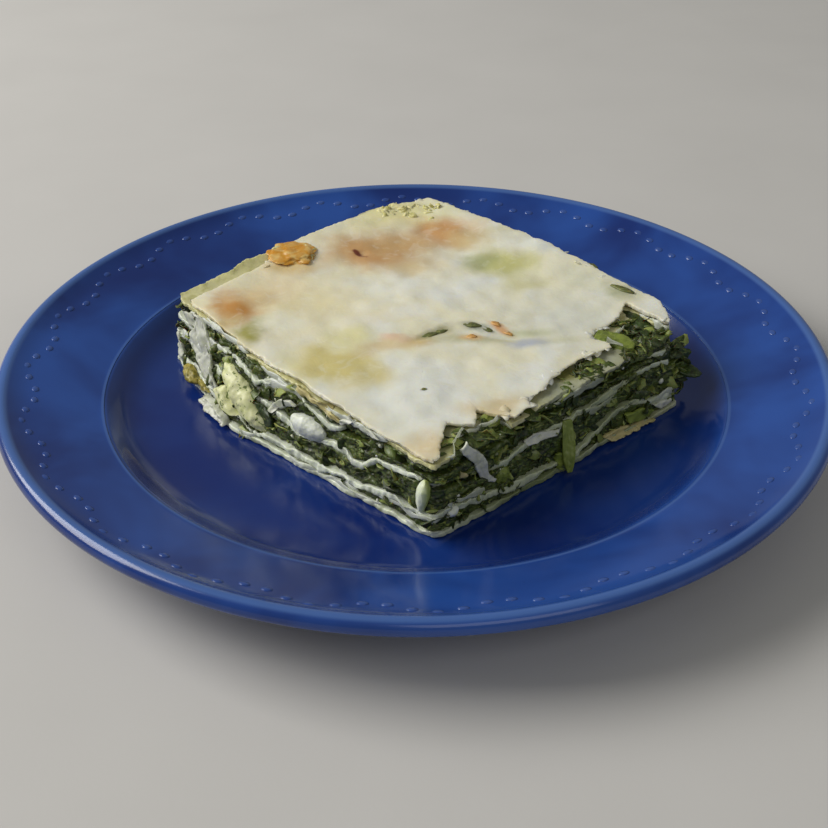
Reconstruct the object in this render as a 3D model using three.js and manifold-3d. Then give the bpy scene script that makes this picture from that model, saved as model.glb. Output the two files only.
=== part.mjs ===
// A square slice of layered spinach pie on a round, deep blue glazed dinner plate.
// Millimetres, +Z up. The origin is the centre of the plate's foot, on the table.
// The slice's sharp corner F points to -Y; its other corners are R (right), K (back) and L (left).
import * as THREE from "three";
import { mergeVertices } from "three/addons/utils/BufferGeometryUtils.js";
import Module from "manifold-3d";

// Plate: turned stoneware with a flat sloping rim, a rolled lip and a foot ring.
const PLATE_RADIUS = 135;
const PLATE_STEPS = 60;
const LIP_HEIGHT = 24.4;
const LIP_THICKNESS = 5.4;
const SHOULDER_RADIUS = 99.5;
const SHOULDER_HEIGHT = 14.2;
const FLOOR_RADIUS = 89;
const FLOOR_HEIGHT = 7;
const FOOT_OUTER = 86;
const FOOT_INNER = 79;
const FOOT_RECESS = 2.6;

// Slice: the centre of its spokes, and its outline at the plate and at the crust. L, A, F, R and K
// are its corners; the edges behind R and L bulge.
const GAP = 0.3;
const SLICE_CENTRE = [0, 8];
const CORNERS_LOW = {
  L: [-83, 25],
  A: [-61, -18.5],
  F: [5.7, -77.6],
  R: [86, -6],
  RK: [66, 24],
  K: [4, 86],
};
const CORNERS_HIGH = {
  L: [-80, 23],
  A: [-47, -20],
  F: [4, -76.5],
  R: [84, 0],
  RK1: [80, 15],
  RK2: [66, 31],
  RK3: [43, 55],
  RK4: [22, 76],
  K: [5, 93],
  KL1: [-15, 84],
  KL2: [-32, 69],
  KL3: [-57, 46],
};
const SLICE_HEIGHT = 27;
const SIDES = ["LA", "AF", "FR", "RK", "KL"];
const SIDE_STEPS = { LA: 9, AF: 23, FR: 27, RK: 11, KL: 9 };
const CALM_SHARE = 0.72;
const CRUST_RINGS = [0.88, CALM_SHARE, 0.48, 0.24];

// Pastry sheets from the plate up. calm is the height of the lower face inside the slice, over the
// plate's floor. waves are the turns of that face's edge: [place round the slice, height]. Places 0
// to 5 are the corners L, A, F, R, K and L again. hidden is a stretch whose edge the filling covers.
const SHEETS = {
  base_pastry: { thick: 1.4, calm: 0.3, waves: [[0, 0.3], [2.54, 0.3], [2.66, 0.9], [2.8, 0.3]] },
  pastry_sheet_1: {
    thick: 1.3,
    calm: 4.4,
    waves: [
      [0, 4.4], [1, 4.4], [1.16, 3.4], [1.43, 2.8], [1.54, 4.5], [1.61, 3.8], [1.8, 6.4], [1.92, 5.8],
      [2.03, 7.6], [2.29, 3.6], [2.54, 2.8], [2.66, 7.2], [2.77, 9.9], [2.87, 6], [3, 4.4], [3.4, 5.2],
      [4, 4], [4.5, 4.9],
    ],
  },
  pastry_sheet_2: {
    thick: 1.3,
    calm: 12,
    waves: [
      [0, 11.4], [1, 12.2], [1.15, 13.4], [1.34, 10], [1.5, 12.7], [1.57, 12.9], [1.64, 10.2],
      [1.72, 16], [1.95, 18], [2.2, 11.6], [2.31, 14.6], [2.62, 15.5], [2.84, 18.5], [3, 15.6],
      [3.4, 12.8], [4, 12.4], [4.4, 11.4],
    ],
    hidden: { from: 1.96, to: 2.24, depth: 5 },
  },
  pastry_sheet_3: {
    thick: 1.2,
    calm: 18.6,
    waves: [
      [0, 16.8], [0.46, 18.6], [0.84, 20.8], [1.05, 17.5], [1.12, 21.4], [1.27, 21.8], [1.47, 17.6],
      [1.6, 19.4], [2, 20.8], [2.5, 20.4], [2.8, 21.2], [3.2, 18.6], [4, 18.8], [4.5, 17.8],
    ],
    hidden: { from: 1.52, to: 2.95, depth: 6 },
  },
  pastry_sheet_4: {
    thick: 1.2,
    calm: 23.8,
    waves: [
      [0, 24.6], [0.45, 23.9], [1.3, 23.8], [1.5, 22.2], [1.65, 23.8], [2.1, 23.9], [2.3, 22.8],
      [2.42, 23.9], [2.72, 23.9], [3, 24.4], [3.5, 25.2], [4.3, 24.8],
    ],
  },
  top_crust: {
    thick: 1.6,
    calm: 25.4,
    waves: [[0, 26.3], [0.5, 25.4], [2, 25.3], [2.72, 25.8], [3, 26.2], [3.5, 27.3], [4.3, 27], [4.7, 26.6]],
  },
};
const SHEET_REACH = 0.4;
const FILLING_REACH = -0.6;
const HIDDEN_RAMP = 0.06;

// All layers from the plate up; rows are the rows of facets in a filling's cut face.
const LAYERS = [
  { name: "base_pastry", ragged: 0.5, seed: 2, colour: 0xd3d2a8 },
  { name: "spinach_seam", rows: 1, ragged: 0.5, seed: 5, colour: 0x4c5a22 },
  { name: "pastry_sheet_1", ragged: 0.5, seed: 8, colour: 0xd6d6bb },
  { name: "spinach_lower", rows: 2, ragged: 1.2, seed: 11, colour: 0x36481c },
  { name: "pastry_sheet_2", ragged: 0.5, seed: 14, colour: 0xd6d6bb },
  { name: "spinach_middle", rows: 2, ragged: 1.1, seed: 17, colour: 0x36481c },
  { name: "pastry_sheet_3", ragged: 0.5, seed: 20, colour: 0xd6d6bb },
  { name: "spinach_upper", rows: 2, ragged: 1.1, seed: 23, colour: 0x36481c },
  { name: "pastry_sheet_4", ragged: 0.6, seed: 26, colour: 0xd0cf9c },
  { name: "top_crust", ragged: 0.5, seed: 29, colour: 0xdcd6b4 },
];

// Places where the crust, or the sheet under it, is torn away, seen from above.
const TEARS = {
  top_crust: [
    [[7, -82], [6.6, -71], [8.7, -56.7], [17, -57.5], [18, -50.2], [29, -53.2], [37, -60]],
    [[37, -62], [33, -44.5], [38.2, -39], [44.7, -27.5], [54.5, -18.5], [62, -13.5], [75, -24]],
    [[72, -30], [62, -14], [58.8, -2.4], [65.4, 4], [70, 13.5], [75, 8], [81.5, 1.5], [95, -8]],
    [[-84, 13], [-75.5, 17.8], [-64, 30], [-53, 42], [-49, 50], [-54, 64], [-95, 40]],
  ],
  pastry_sheet_4: [
    [[12, -84], [10, -66], [13, -59], [20, -55], [25, -50.5], [33, -60]],
    [[74, -28], [66, -12], [63, -3], [68.5, 4], [74, 10], [77, 4], [96, -8]],
  ],
};

// Pieces of filling that stand in the cut faces: centre, half-sizes and turn in degrees (x, y, z).
const LUMPS = [
  { name: "cheese_lump", at: [-32.4, -40.9, 21.8], half: [7.2, 3.4, 3.6], turn: [0, 5, -41], seed: 3 },
  { name: "egg_piece", at: [-54.6, -19.4, 18.4], half: [12.5, 4.4, 5.2], turn: [0, 32, -52], seed: 5 },
  { name: "golden_crumb", at: [-75.8, 7.2, 11.2], half: [5, 2.6, 2.4], turn: [0, 12, -64], seed: 6 },
  { name: "leek_slice", at: [1.8, -74.6, 20.6], half: [2.2, 2.6, 6.4], turn: [10, 6, 0], seed: 7 },
  { name: "cheese_crumb", at: [10.4, -72.6, 13.8], half: [2.3, 2, 1.7], turn: [0, 0, 40], seed: 9 },
  { name: "stem_bud", at: [25.4, -58.4, 16.6], half: [2.6, 2.2, 3.1], turn: [0, 14, 44], seed: 11 },
];

// Flat strips and leaves: centre of the near end, lengths along and across, turn and bend.
const STRIPS = [
  { name: "pastry_drape", at: [-72.4, 11.4, 31], size: [23, 9, 1.2], turn: [86, 44, -69], bend: -1.5 },
  { name: "pastry_strip", at: [13.8, -67.6, 33], size: [20, 3.2, 1.2], turn: [90, 57, 34], bend: 1 },
  { name: "stem_hanging", at: [46, -39.8, 23.8], size: [16.6, 4, 1.5], turn: [0, 66, -80], bend: 1.2 },
  { name: "stem_on_top", at: [57.8, -5, 33.4], size: [13, 8, 1.6], turn: [0, 7, -20], bend: 1 },
  { name: "leaf_on_top", at: [67, 11, 32.2], size: [17, 8, 0.8], turn: [6, 5, -47], bend: 1.6 },
  { name: "leaf_at_right", at: [84, -0.4, 19.8], size: [10.5, 5, 0.8], turn: [12, 6, -25], bend: 1.4 },
];
const PIECE_COLOURS = {
  cheese_lump: 0xdfe2d2,
  egg_piece: 0xdcdc9a,
  golden_crumb: 0x9a8434,
  leek_slice: 0xdfe6c0,
  cheese_crumb: 0xdadcc4,
  stem_bud: 0x9aa84e,
  pastry_drape: 0xcfd2bc,
  pastry_strip: 0xcdd0bb,
  stem_hanging: 0x7f8f38,
  stem_on_top: 0x93a044,
  leaf_on_top: 0x35491a,
  leaf_at_right: 0x44591c,
};

const wasm = await Module();
wasm.setup();

// A steady pseudo-random share from 0 to 1 for a whole number.
function share(n) {
  const x = Math.sin(n * 127.1 + 11.7) * 43758.5453;
  return x - Math.floor(x);
}

// Roughness of a cut edge, from -1 to 1, at a share of the way round the slice: three waves whose
// phases come from the seed.
function roughness(round, seed) {
  const waves = [[17, 0.5], [29, 0.32], [43, 0.18]];
  return waves.reduce((sum, [cycles, weight], i) => {
    const phase = 2 * Math.PI * share(seed * 7 + i);
    return sum + weight * Math.sin(2 * Math.PI * cycles * round + phase);
  }, 0);
}

// Distance from the centre of the slice to an outline, in one direction.
function reachTo(corners, direction) {
  const names = Object.keys(corners);
  let best = 0;
  names.forEach((name, i) => {
    const a = corners[name].map((v, k) => v - SLICE_CENTRE[k]);
    const b = corners[names[(i + 1) % names.length]].map((v, k) => v - SLICE_CENTRE[k]);
    const e = [b[0] - a[0], b[1] - a[1]];
    const cross = direction[0] * e[1] - direction[1] * e[0];
    const along = (a[0] * e[1] - a[1] * e[0]) / cross;
    const across = (a[0] * direction[1] - a[1] * direction[0]) / cross;
    if (along > 0 && across >= -1e-6 && across <= 1 + 1e-6) best = Math.max(best, along);
  });
  return best;
}

// The spokes: evenly spaced points of the mean outline, each with its reach at the plate and crust.
function makeSpokes() {
  const spokes = [];
  for (const side of SIDES) {
    const [from, to] = [...side];
    for (let i = 0; i < SIDE_STEPS[side]; i += 1) {
      const t = i / SIDE_STEPS[side];
      const mix = (k) => {
        const mean = (name) => (CORNERS_LOW[name][k] + CORNERS_HIGH[name][k]) / 2;
        return mean(from) * (1 - t) + mean(to) * t - SLICE_CENTRE[k];
      };
      const length = Math.hypot(mix(0), mix(1));
      const direction = [mix(0) / length, mix(1) / length];
      spokes.push({
        direction,
        length,
        low: reachTo(CORNERS_LOW, direction),
        high: reachTo(CORNERS_HIGH, direction),
        place: SIDES.indexOf(side) + t,
      });
    }
  }
  return spokes;
}

const SPOKES = makeSpokes();

// The slice is raised a little towards the back edge and has low hills.
function swell(x, y) {
  const hills = 0.012 * Math.sin(x / 15 + 1.1) * Math.cos(y / 17 - 0.4);
  const back = 0.07 * Math.exp(-((x - 30) ** 2 + (y - 72) ** 2) / (2 * 28 ** 2));
  return 1 + hills + back;
}

function planPoint(j, q) {
  const { direction, length } = SPOKES[j];
  return direction.map((v, k) => SLICE_CENTRE[k] + v * length * q);
}

// Height of a sheet's lower face at its edge, at one place round the slice.
function edgeHeight(sheet, place) {
  const [first] = sheet.waves;
  const closed = [...sheet.waves, [SIDES.length + first[0], first[1]]];
  const next = closed.findIndex((turn) => turn[0] > place);
  const [a, b] = [closed[next - 1], closed[next]];
  return THREE.MathUtils.mapLinear(place, a[0], b[0], a[1], b[1]);
}

// How far a layer's edge stands out from the slice's outline; a hidden stretch is set back.
function edgeReach(layer, place) {
  const sheet = SHEETS[layer.name];
  if (!sheet) return FILLING_REACH;
  if (!sheet.hidden) return SHEET_REACH;
  const { from, to, depth } = sheet.hidden;
  const inside = Math.min(place - from, to - place) / HIDDEN_RAMP;
  return SHEET_REACH - depth * THREE.MathUtils.clamp(inside, 0, 1);
}

// The sheet whose face a layer's lower or upper face follows, and how far from it that face lies.
function guide(k, upper) {
  if (!LAYERS[k].rows) {
    const sheet = SHEETS[LAYERS[k].name];
    return [sheet, upper ? sheet.thick : 0];
  }
  const sheet = SHEETS[LAYERS[upper ? k + 1 : k - 1].name];
  return [sheet, upper ? -GAP : sheet.thick + GAP];
}

// Height above the plate's floor of the lower or upper face of layer k, at share q along spoke j.
// It runs straight from the calm ring to the edge, so that faces that meet stay evenly apart.
function faceHeight(k, upper, j, q) {
  const [sheet, offset] = guide(k, upper);
  const calm = (sheet.calm + offset) * swell(...planPoint(j, Math.min(q, CALM_SHARE)));
  if (q <= CALM_SHARE) return calm;
  const edge = (edgeHeight(sheet, SPOKES[j].place) + offset) * swell(...planPoint(j, 1));
  const outward = (q - CALM_SHARE) / (1 - CALM_SHARE);
  return calm * (1 - outward) + edge * outward;
}

function pointOn(j, q, height) {
  return [...planPoint(j, q), FLOOR_HEIGHT + height];
}

// Share along spoke j at which row number `row` of layer k ends, with its ragged edge.
function rimShare(k, j, row) {
  const layer = LAYERS[k];
  const spoke = SPOKES[j];
  const level = faceHeight(k, false, j, 1) / SLICE_HEIGHT;
  const outline = spoke.low * (1 - level) + spoke.high * level;
  const reach = edgeReach(layer, spoke.place);
  const rough = roughness(spoke.place / SIDES.length, layer.seed * 5 + row * 17 + 1);
  return (outline + reach + layer.ragged * rough) / spoke.length;
}

// One layer: a closed slab whose faces lie on the spokes, with its side in one or more rows.
function layerGeometry(k) {
  const layer = LAYERS[k];
  const count = SPOKES.length;
  const sideRows = (layer.rows ?? 1) + 1;
  const innerRings = layer.name === "top_crust" ? CRUST_RINGS : [CALM_SHARE];
  const rings = [];
  rings.push(SPOKES.map((_, j) => pointOn(j, CALM_SHARE, faceHeight(k, false, j, CALM_SHARE))));
  for (let row = 0; row < sideRows; row += 1) {
    const up = row / (sideRows - 1);
    rings.push(
      SPOKES.map((_, j) => {
        const q = rimShare(k, j, row);
        const low = faceHeight(k, false, j, q);
        const high = faceHeight(k, true, j, q);
        return pointOn(j, q, low * (1 - up) + high * up);
      }),
    );
  }
  for (const q of innerRings) {
    rings.push(SPOKES.map((_, j) => pointOn(j, q, faceHeight(k, true, j, q))));
  }
  const positions = rings.flat().flat();
  for (const upper of [false, true]) {
    const [sheet, offset] = guide(k, upper);
    positions.push(...SLICE_CENTRE, FLOOR_HEIGHT + (sheet.calm + offset) * swell(...SLICE_CENTRE));
  }
  const bottom = rings.length * count;
  const top = bottom + 1;
  const last = (rings.length - 1) * count;
  const faces = [];
  for (let j = 0; j < count; j += 1) {
    const n = (j + 1) % count;
    faces.push(bottom, n, j);
    for (let ring = 0; ring < rings.length - 1; ring += 1) {
      const a = ring * count;
      const b = a + count;
      if (ring < sideRows) faces.push(a + j, a + n, b + n, a + j, b + n, b + j);
      else faces.push(a + j, a + n, b + j, a + n, b + n, b + j);
    }
    faces.push(last + j, last + n, top);
  }
  const geometry = new THREE.BufferGeometry();
  geometry.setAttribute("position", new THREE.Float32BufferAttribute(positions, 3));
  geometry.setIndex(faces);
  return geometry;
}

// A geometry as a solid that can be cut, and the other way round.
function solidOf(geometry) {
  const bare = geometry.index ? geometry.toNonIndexed() : geometry.clone();
  bare.deleteAttribute("normal");
  bare.deleteAttribute("uv");
  const merged = mergeVertices(bare, 1e-3);
  return new wasm.Manifold(
    new wasm.Mesh({
      numProp: 3,
      vertProperties: new Float32Array(merged.attributes.position.array),
      triVerts: new Uint32Array(merged.index.array),
    }),
  );
}

function geometryOf(solid) {
  const whole = solid.decompose().reduce((a, b) => (b.volume() > a.volume() ? b : a));
  const mesh = whole.getMesh();
  const geometry = new THREE.BufferGeometry();
  geometry.setAttribute("position", new THREE.BufferAttribute(mesh.vertProperties, 3));
  geometry.setIndex(new THREE.BufferAttribute(mesh.triVerts, 1));
  return geometry;
}

// A tall prism over a torn-away place.
function tearSolid(outline) {
  const shape = new THREE.Shape(outline.map(([x, y]) => new THREE.Vector2(x, y)));
  return solidOf(new THREE.ExtrudeGeometry(shape, { depth: 60, bevelEnabled: false }));
}

// Puts a geometry made about its own origin in its place in the slice.
function place(geometry, { at, turn }) {
  const angles = turn.map((degrees) => THREE.MathUtils.degToRad(degrees));
  const matrix = new THREE.Matrix4().makeRotationFromEuler(new THREE.Euler(...angles, "ZYX"));
  matrix.setPosition(...at);
  return geometry.applyMatrix4(matrix);
}

// A rounded, uneven lump of filling, or the same grown on all sides to cut its bed.
function lumpGeometry(lump, grow = 0) {
  const sphere = new THREE.IcosahedronGeometry(1, lump.half[0] > 4 ? 2 : 1);
  sphere.deleteAttribute("normal");
  sphere.deleteAttribute("uv");
  const ball = mergeVertices(sphere);
  const position = ball.attributes.position;
  const v = new THREE.Vector3();
  for (let i = 0; i < position.count; i += 1) {
    v.fromBufferAttribute(position, i);
    const dents = Math.sin(v.x * 3.1 + lump.seed) + Math.sin(v.y * 3.7 - lump.seed) + Math.sin(v.z * 4.3);
    v.multiplyScalar(1 + 0.05 * dents);
    v.set(v.x * (lump.half[0] + grow), v.y * (lump.half[1] + grow), v.z * (lump.half[2] + grow));
    position.setXYZ(i, v.x, v.y, v.z);
  }
  return place(ball, lump);
}

// A thin wavy strip or leaf that runs along +X from its near end, narrowing to both ends.
function stripGeometry(strip, grow = 0) {
  const [length, width, thick] = strip.size;
  const steps = 7;
  const across = 3;
  const positions = [];
  for (const side of [-1, 1]) {
    for (let i = 0; i <= steps; i += 1) {
      for (let k = 0; k <= across; k += 1) {
        const u = i / steps;
        const w = (k / across - 0.5) * 2;
        const narrow = 0.45 + 0.55 * Math.sin(Math.PI * Math.min(1, 0.12 + 0.88 * u)) ** 0.6;
        const ripple = 0.35 * strip.bend * Math.sin(u * 7 + strip.at[0] + w * 2);
        positions.push(
          -grow + u * (length + 2 * grow),
          w * (width / 2 + grow) * narrow,
          ripple - strip.bend * (u - 0.4) ** 2 + side * (thick / 2 + grow),
        );
      }
    }
  }
  const row = across + 1;
  const sheet = row * (steps + 1);
  const at = (side, i, k) => side * sheet + i * row + k;
  const faces = [];
  const quad = (a, b, c, d) => faces.push(a, b, c, a, c, d);
  for (let i = 0; i < steps; i += 1) {
    for (let k = 0; k < across; k += 1) {
      const [a, b, c, d] = [at(1, i, k), at(1, i + 1, k), at(1, i + 1, k + 1), at(1, i, k + 1)];
      faces.push(a, b, c, a, c, d);
      faces.push(a - sheet, c - sheet, b - sheet, a - sheet, d - sheet, c - sheet);
    }
    quad(at(0, i, 0), at(0, i + 1, 0), at(1, i + 1, 0), at(1, i, 0));
    quad(at(0, i + 1, across), at(0, i, across), at(1, i, across), at(1, i + 1, across));
  }
  for (let k = 0; k < across; k += 1) {
    quad(at(0, 0, k + 1), at(0, 0, k), at(1, 0, k), at(1, 0, k + 1));
    quad(at(0, steps, k), at(0, steps, k + 1), at(1, steps, k + 1), at(1, steps, k));
  }
  const geometry = new THREE.BufferGeometry();
  geometry.setAttribute("position", new THREE.Float32BufferAttribute(positions, 3));
  geometry.setIndex(faces);
  return place(geometry, strip);
}

// Points on part of a circle, for the plate's profile.
function arc(x, y, radius, from, to, steps) {
  const points = [];
  for (let i = 0; i <= steps; i += 1) {
    const a = THREE.MathUtils.degToRad(from + ((to - from) * i) / steps);
    points.push(new THREE.Vector2(x + radius * Math.cos(a), y + radius * Math.sin(a)));
  }
  return points;
}

// The plate's section, from the centre of its underside round the foot and lip to its centre on top.
function plateGeometry() {
  const roll = LIP_THICKNESS / 2;
  const points = [
    new THREE.Vector2(0, FOOT_RECESS),
    new THREE.Vector2(FOOT_INNER - 2, FOOT_RECESS),
    new THREE.Vector2(FOOT_INNER, 0),
    new THREE.Vector2(FOOT_OUTER - 1, 0),
    new THREE.Vector2(SHOULDER_RADIUS + 3, SHOULDER_HEIGHT - 5.2),
    new THREE.Vector2(PLATE_RADIUS - 10, LIP_HEIGHT - 6.6),
    ...arc(PLATE_RADIUS - roll, LIP_HEIGHT - roll + 0.9, roll, -62, 112, 5),
    new THREE.Vector2(PLATE_RADIUS - 9, LIP_HEIGHT - 2.2),
    new THREE.Vector2(SHOULDER_RADIUS + 2.2, SHOULDER_HEIGHT + 0.5),
    new THREE.Vector2(SHOULDER_RADIUS, SHOULDER_HEIGHT - 0.1),
    new THREE.Vector2(SHOULDER_RADIUS - 3, SHOULDER_HEIGHT - 2.2),
    new THREE.Vector2(SHOULDER_RADIUS - 6.5, FLOOR_HEIGHT + 1.7),
    new THREE.Vector2(FLOOR_RADIUS, FLOOR_HEIGHT + 0.15),
    new THREE.Vector2(FLOOR_RADIUS - 4, FLOOR_HEIGHT),
    new THREE.Vector2(0, FLOOR_HEIGHT),
  ];
  return new THREE.LatheGeometry(points, PLATE_STEPS).rotateX(Math.PI / 2);
}

function addMesh(group, name, geometry, material) {
  const mesh = new THREE.Mesh(geometry, material);
  mesh.name = name;
  group.add(mesh);
}

function food(colour, roughness) {
  return new THREE.MeshStandardMaterial({ color: colour, roughness, metalness: 0 });
}

// All pieces that lie in the cut faces, with their beds for the layers to be cut by.
function garnish() {
  const lumps = LUMPS.map((lump) => ({
    name: lump.name,
    geometry: lumpGeometry(lump),
    bed: solidOf(lumpGeometry(lump, GAP)),
  }));
  const strips = STRIPS.map((strip) => ({
    name: strip.name,
    geometry: stripGeometry(strip),
    bed: solidOf(stripGeometry(strip, GAP)),
  }));
  return [...lumps, ...strips];
}

const pie = new THREE.Group();
const plateGlaze = new THREE.MeshStandardMaterial({ color: 0x24408c, roughness: 0.18, metalness: 0 });
addMesh(pie, "plate", plateGeometry(), plateGlaze);
const pieces = garnish();
LAYERS.forEach((layer, k) => {
  let solid = solidOf(layerGeometry(k));
  for (const outline of TEARS[layer.name] ?? []) solid = solid.subtract(tearSolid(outline));
  for (const piece of pieces) solid = solid.subtract(piece.bed);
  addMesh(pie, layer.name, geometryOf(solid), food(layer.colour, layer.rows ? 0.5 : 0.7));
});
for (const piece of pieces) {
  addMesh(pie, piece.name, piece.geometry, food(PIECE_COLOURS[piece.name], 0.55));
}

export default pie;
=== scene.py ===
"""Looks of a square slice of layered spinach pie on a deep blue glazed dinner plate.

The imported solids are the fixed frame, in metres, +Z up, with the plate's foot on the floor. Every
layer of the pie is a finer copy of its solid: the pastry gets wavy cut edges and the filling a leafy
relief. The plate is turned again with a finer section, and the small things are scattered on top.
"""

from __future__ import annotations

import logging
import math
import random
from dataclasses import dataclass, field
from enum import Enum
from functools import partial
from typing import Callable, Iterable, Sequence

import bmesh
import bpy
from mathutils import Euler, Matrix, Vector, noise
from mathutils.bvhtree import BVHTree

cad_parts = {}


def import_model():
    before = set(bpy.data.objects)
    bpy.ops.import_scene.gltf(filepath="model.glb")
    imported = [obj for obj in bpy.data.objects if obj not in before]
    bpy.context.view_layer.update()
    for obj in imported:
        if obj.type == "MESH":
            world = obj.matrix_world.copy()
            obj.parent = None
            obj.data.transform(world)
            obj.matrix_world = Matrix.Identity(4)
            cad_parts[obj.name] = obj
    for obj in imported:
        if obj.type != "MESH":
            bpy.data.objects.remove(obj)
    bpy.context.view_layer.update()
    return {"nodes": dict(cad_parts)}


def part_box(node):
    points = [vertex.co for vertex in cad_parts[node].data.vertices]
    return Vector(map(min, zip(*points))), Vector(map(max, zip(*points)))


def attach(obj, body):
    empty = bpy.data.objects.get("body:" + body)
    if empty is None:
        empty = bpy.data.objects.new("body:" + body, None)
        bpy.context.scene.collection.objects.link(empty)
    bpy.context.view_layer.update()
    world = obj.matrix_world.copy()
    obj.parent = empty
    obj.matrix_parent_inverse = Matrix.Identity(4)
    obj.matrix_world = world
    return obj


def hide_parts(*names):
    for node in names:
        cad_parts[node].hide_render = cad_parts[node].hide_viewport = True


LOG = logging.getLogger("spinach_pie")
MM = 0.001
BODY = "root"
UP = Vector((0.0, 0.0, 1.0))
DRIFT_SEED = 41
MERGE_DISTANCE = 2e-6
MIDDLE_SHADE = 0.5
NEARLY_LEVEL = 0.2

Colour = tuple[float, float, float, float]
Pair = tuple[float, float]
Triple = tuple[float, float, float]
Longest = Callable[[Vector, Vector], float]


def srgb(red: int, green: int, blue: int) -> Colour:
    """A colour as seen on a screen, 0 to 255, in the linear values that shaders take."""
    linear = []
    for value in (red, green, blue):
        share = value / 255
        linear.append(share / 12.92 if share <= 0.04045 else ((share + 0.055) / 1.055) ** 2.4)
    return (linear[0], linear[1], linear[2], 1.0)


def mm(x: float, y: float, z: float = 0.0) -> Vector:
    """A point or size given in millimetres, in metres."""
    return Vector((x, y, z)) * MM


def grain(co: Vector, size: float, seed: float = 0.0) -> float:
    """Smooth noise from -1 to 1.

    Args:
        co: The point, in metres.
        size: The length of one lump, in millimetres.
        seed: A shift that gives another pattern.

    Returns:
        The noise at that point.
    """
    return noise.noise(co / (size * MM) + Vector((seed, 1.7 * seed, -0.9 * seed)))


@dataclass(frozen=True)
class Waves:
    """Smooth waves: the length of one lump in millimetres, their height and a shift of the pattern."""

    size: float
    height: float = 1.0
    shift: float = 0.0

    def at_place(self, co: Vector, seed: float = 0.0) -> float:
        """Their height at a point, in the unit of the height."""
        return self.height * grain(co, self.size, seed + self.shift)


def soft_step(value: float, low: float, high: float) -> float:
    """A share from 0 at low to 1 at high, with soft ends."""
    share = min(1.0, max(0.0, (value - low) / (high - low)))
    return share * share * (3 - 2 * share)


class Slot(Enum):
    """The record's material slots."""

    BLUE_GLAZE = "blue_glaze"
    CRUST = "crust"
    PASTRY = "pastry"
    OILED_PASTRY = "oiled_pastry"
    SPINACH = "spinach"
    WHITE_CHEESE = "white_cheese"
    EGG = "egg"
    BROWNED_PASTRY = "browned_pastry"
    LEEK = "leek"
    STEM = "stem"
    LEAF = "leaf"


@dataclass(frozen=True)
class Clouds:
    """Soft clouds of noise, none below the first edge and of full strength above the second.

    The size is the length of one cloud in millimetres, detail the number of finer octaves, warp how
    far the clouds are twisted, and shift a length in metres that gives another pattern.
    """

    size: float
    detail: float
    edges: Pair
    strength: float = 1.0
    warp: float = 0.0
    stretch: Triple = (1, 1, 1)
    shift: float = 0.0


@dataclass(frozen=True)
class Relief:
    """A fine unevenness of the surface: its lumps' size and depth, in millimetres."""

    size: float
    detail: float
    depth: float
    warp: float = 0.0
    stretch: Triple = (1, 1, 1)


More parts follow.
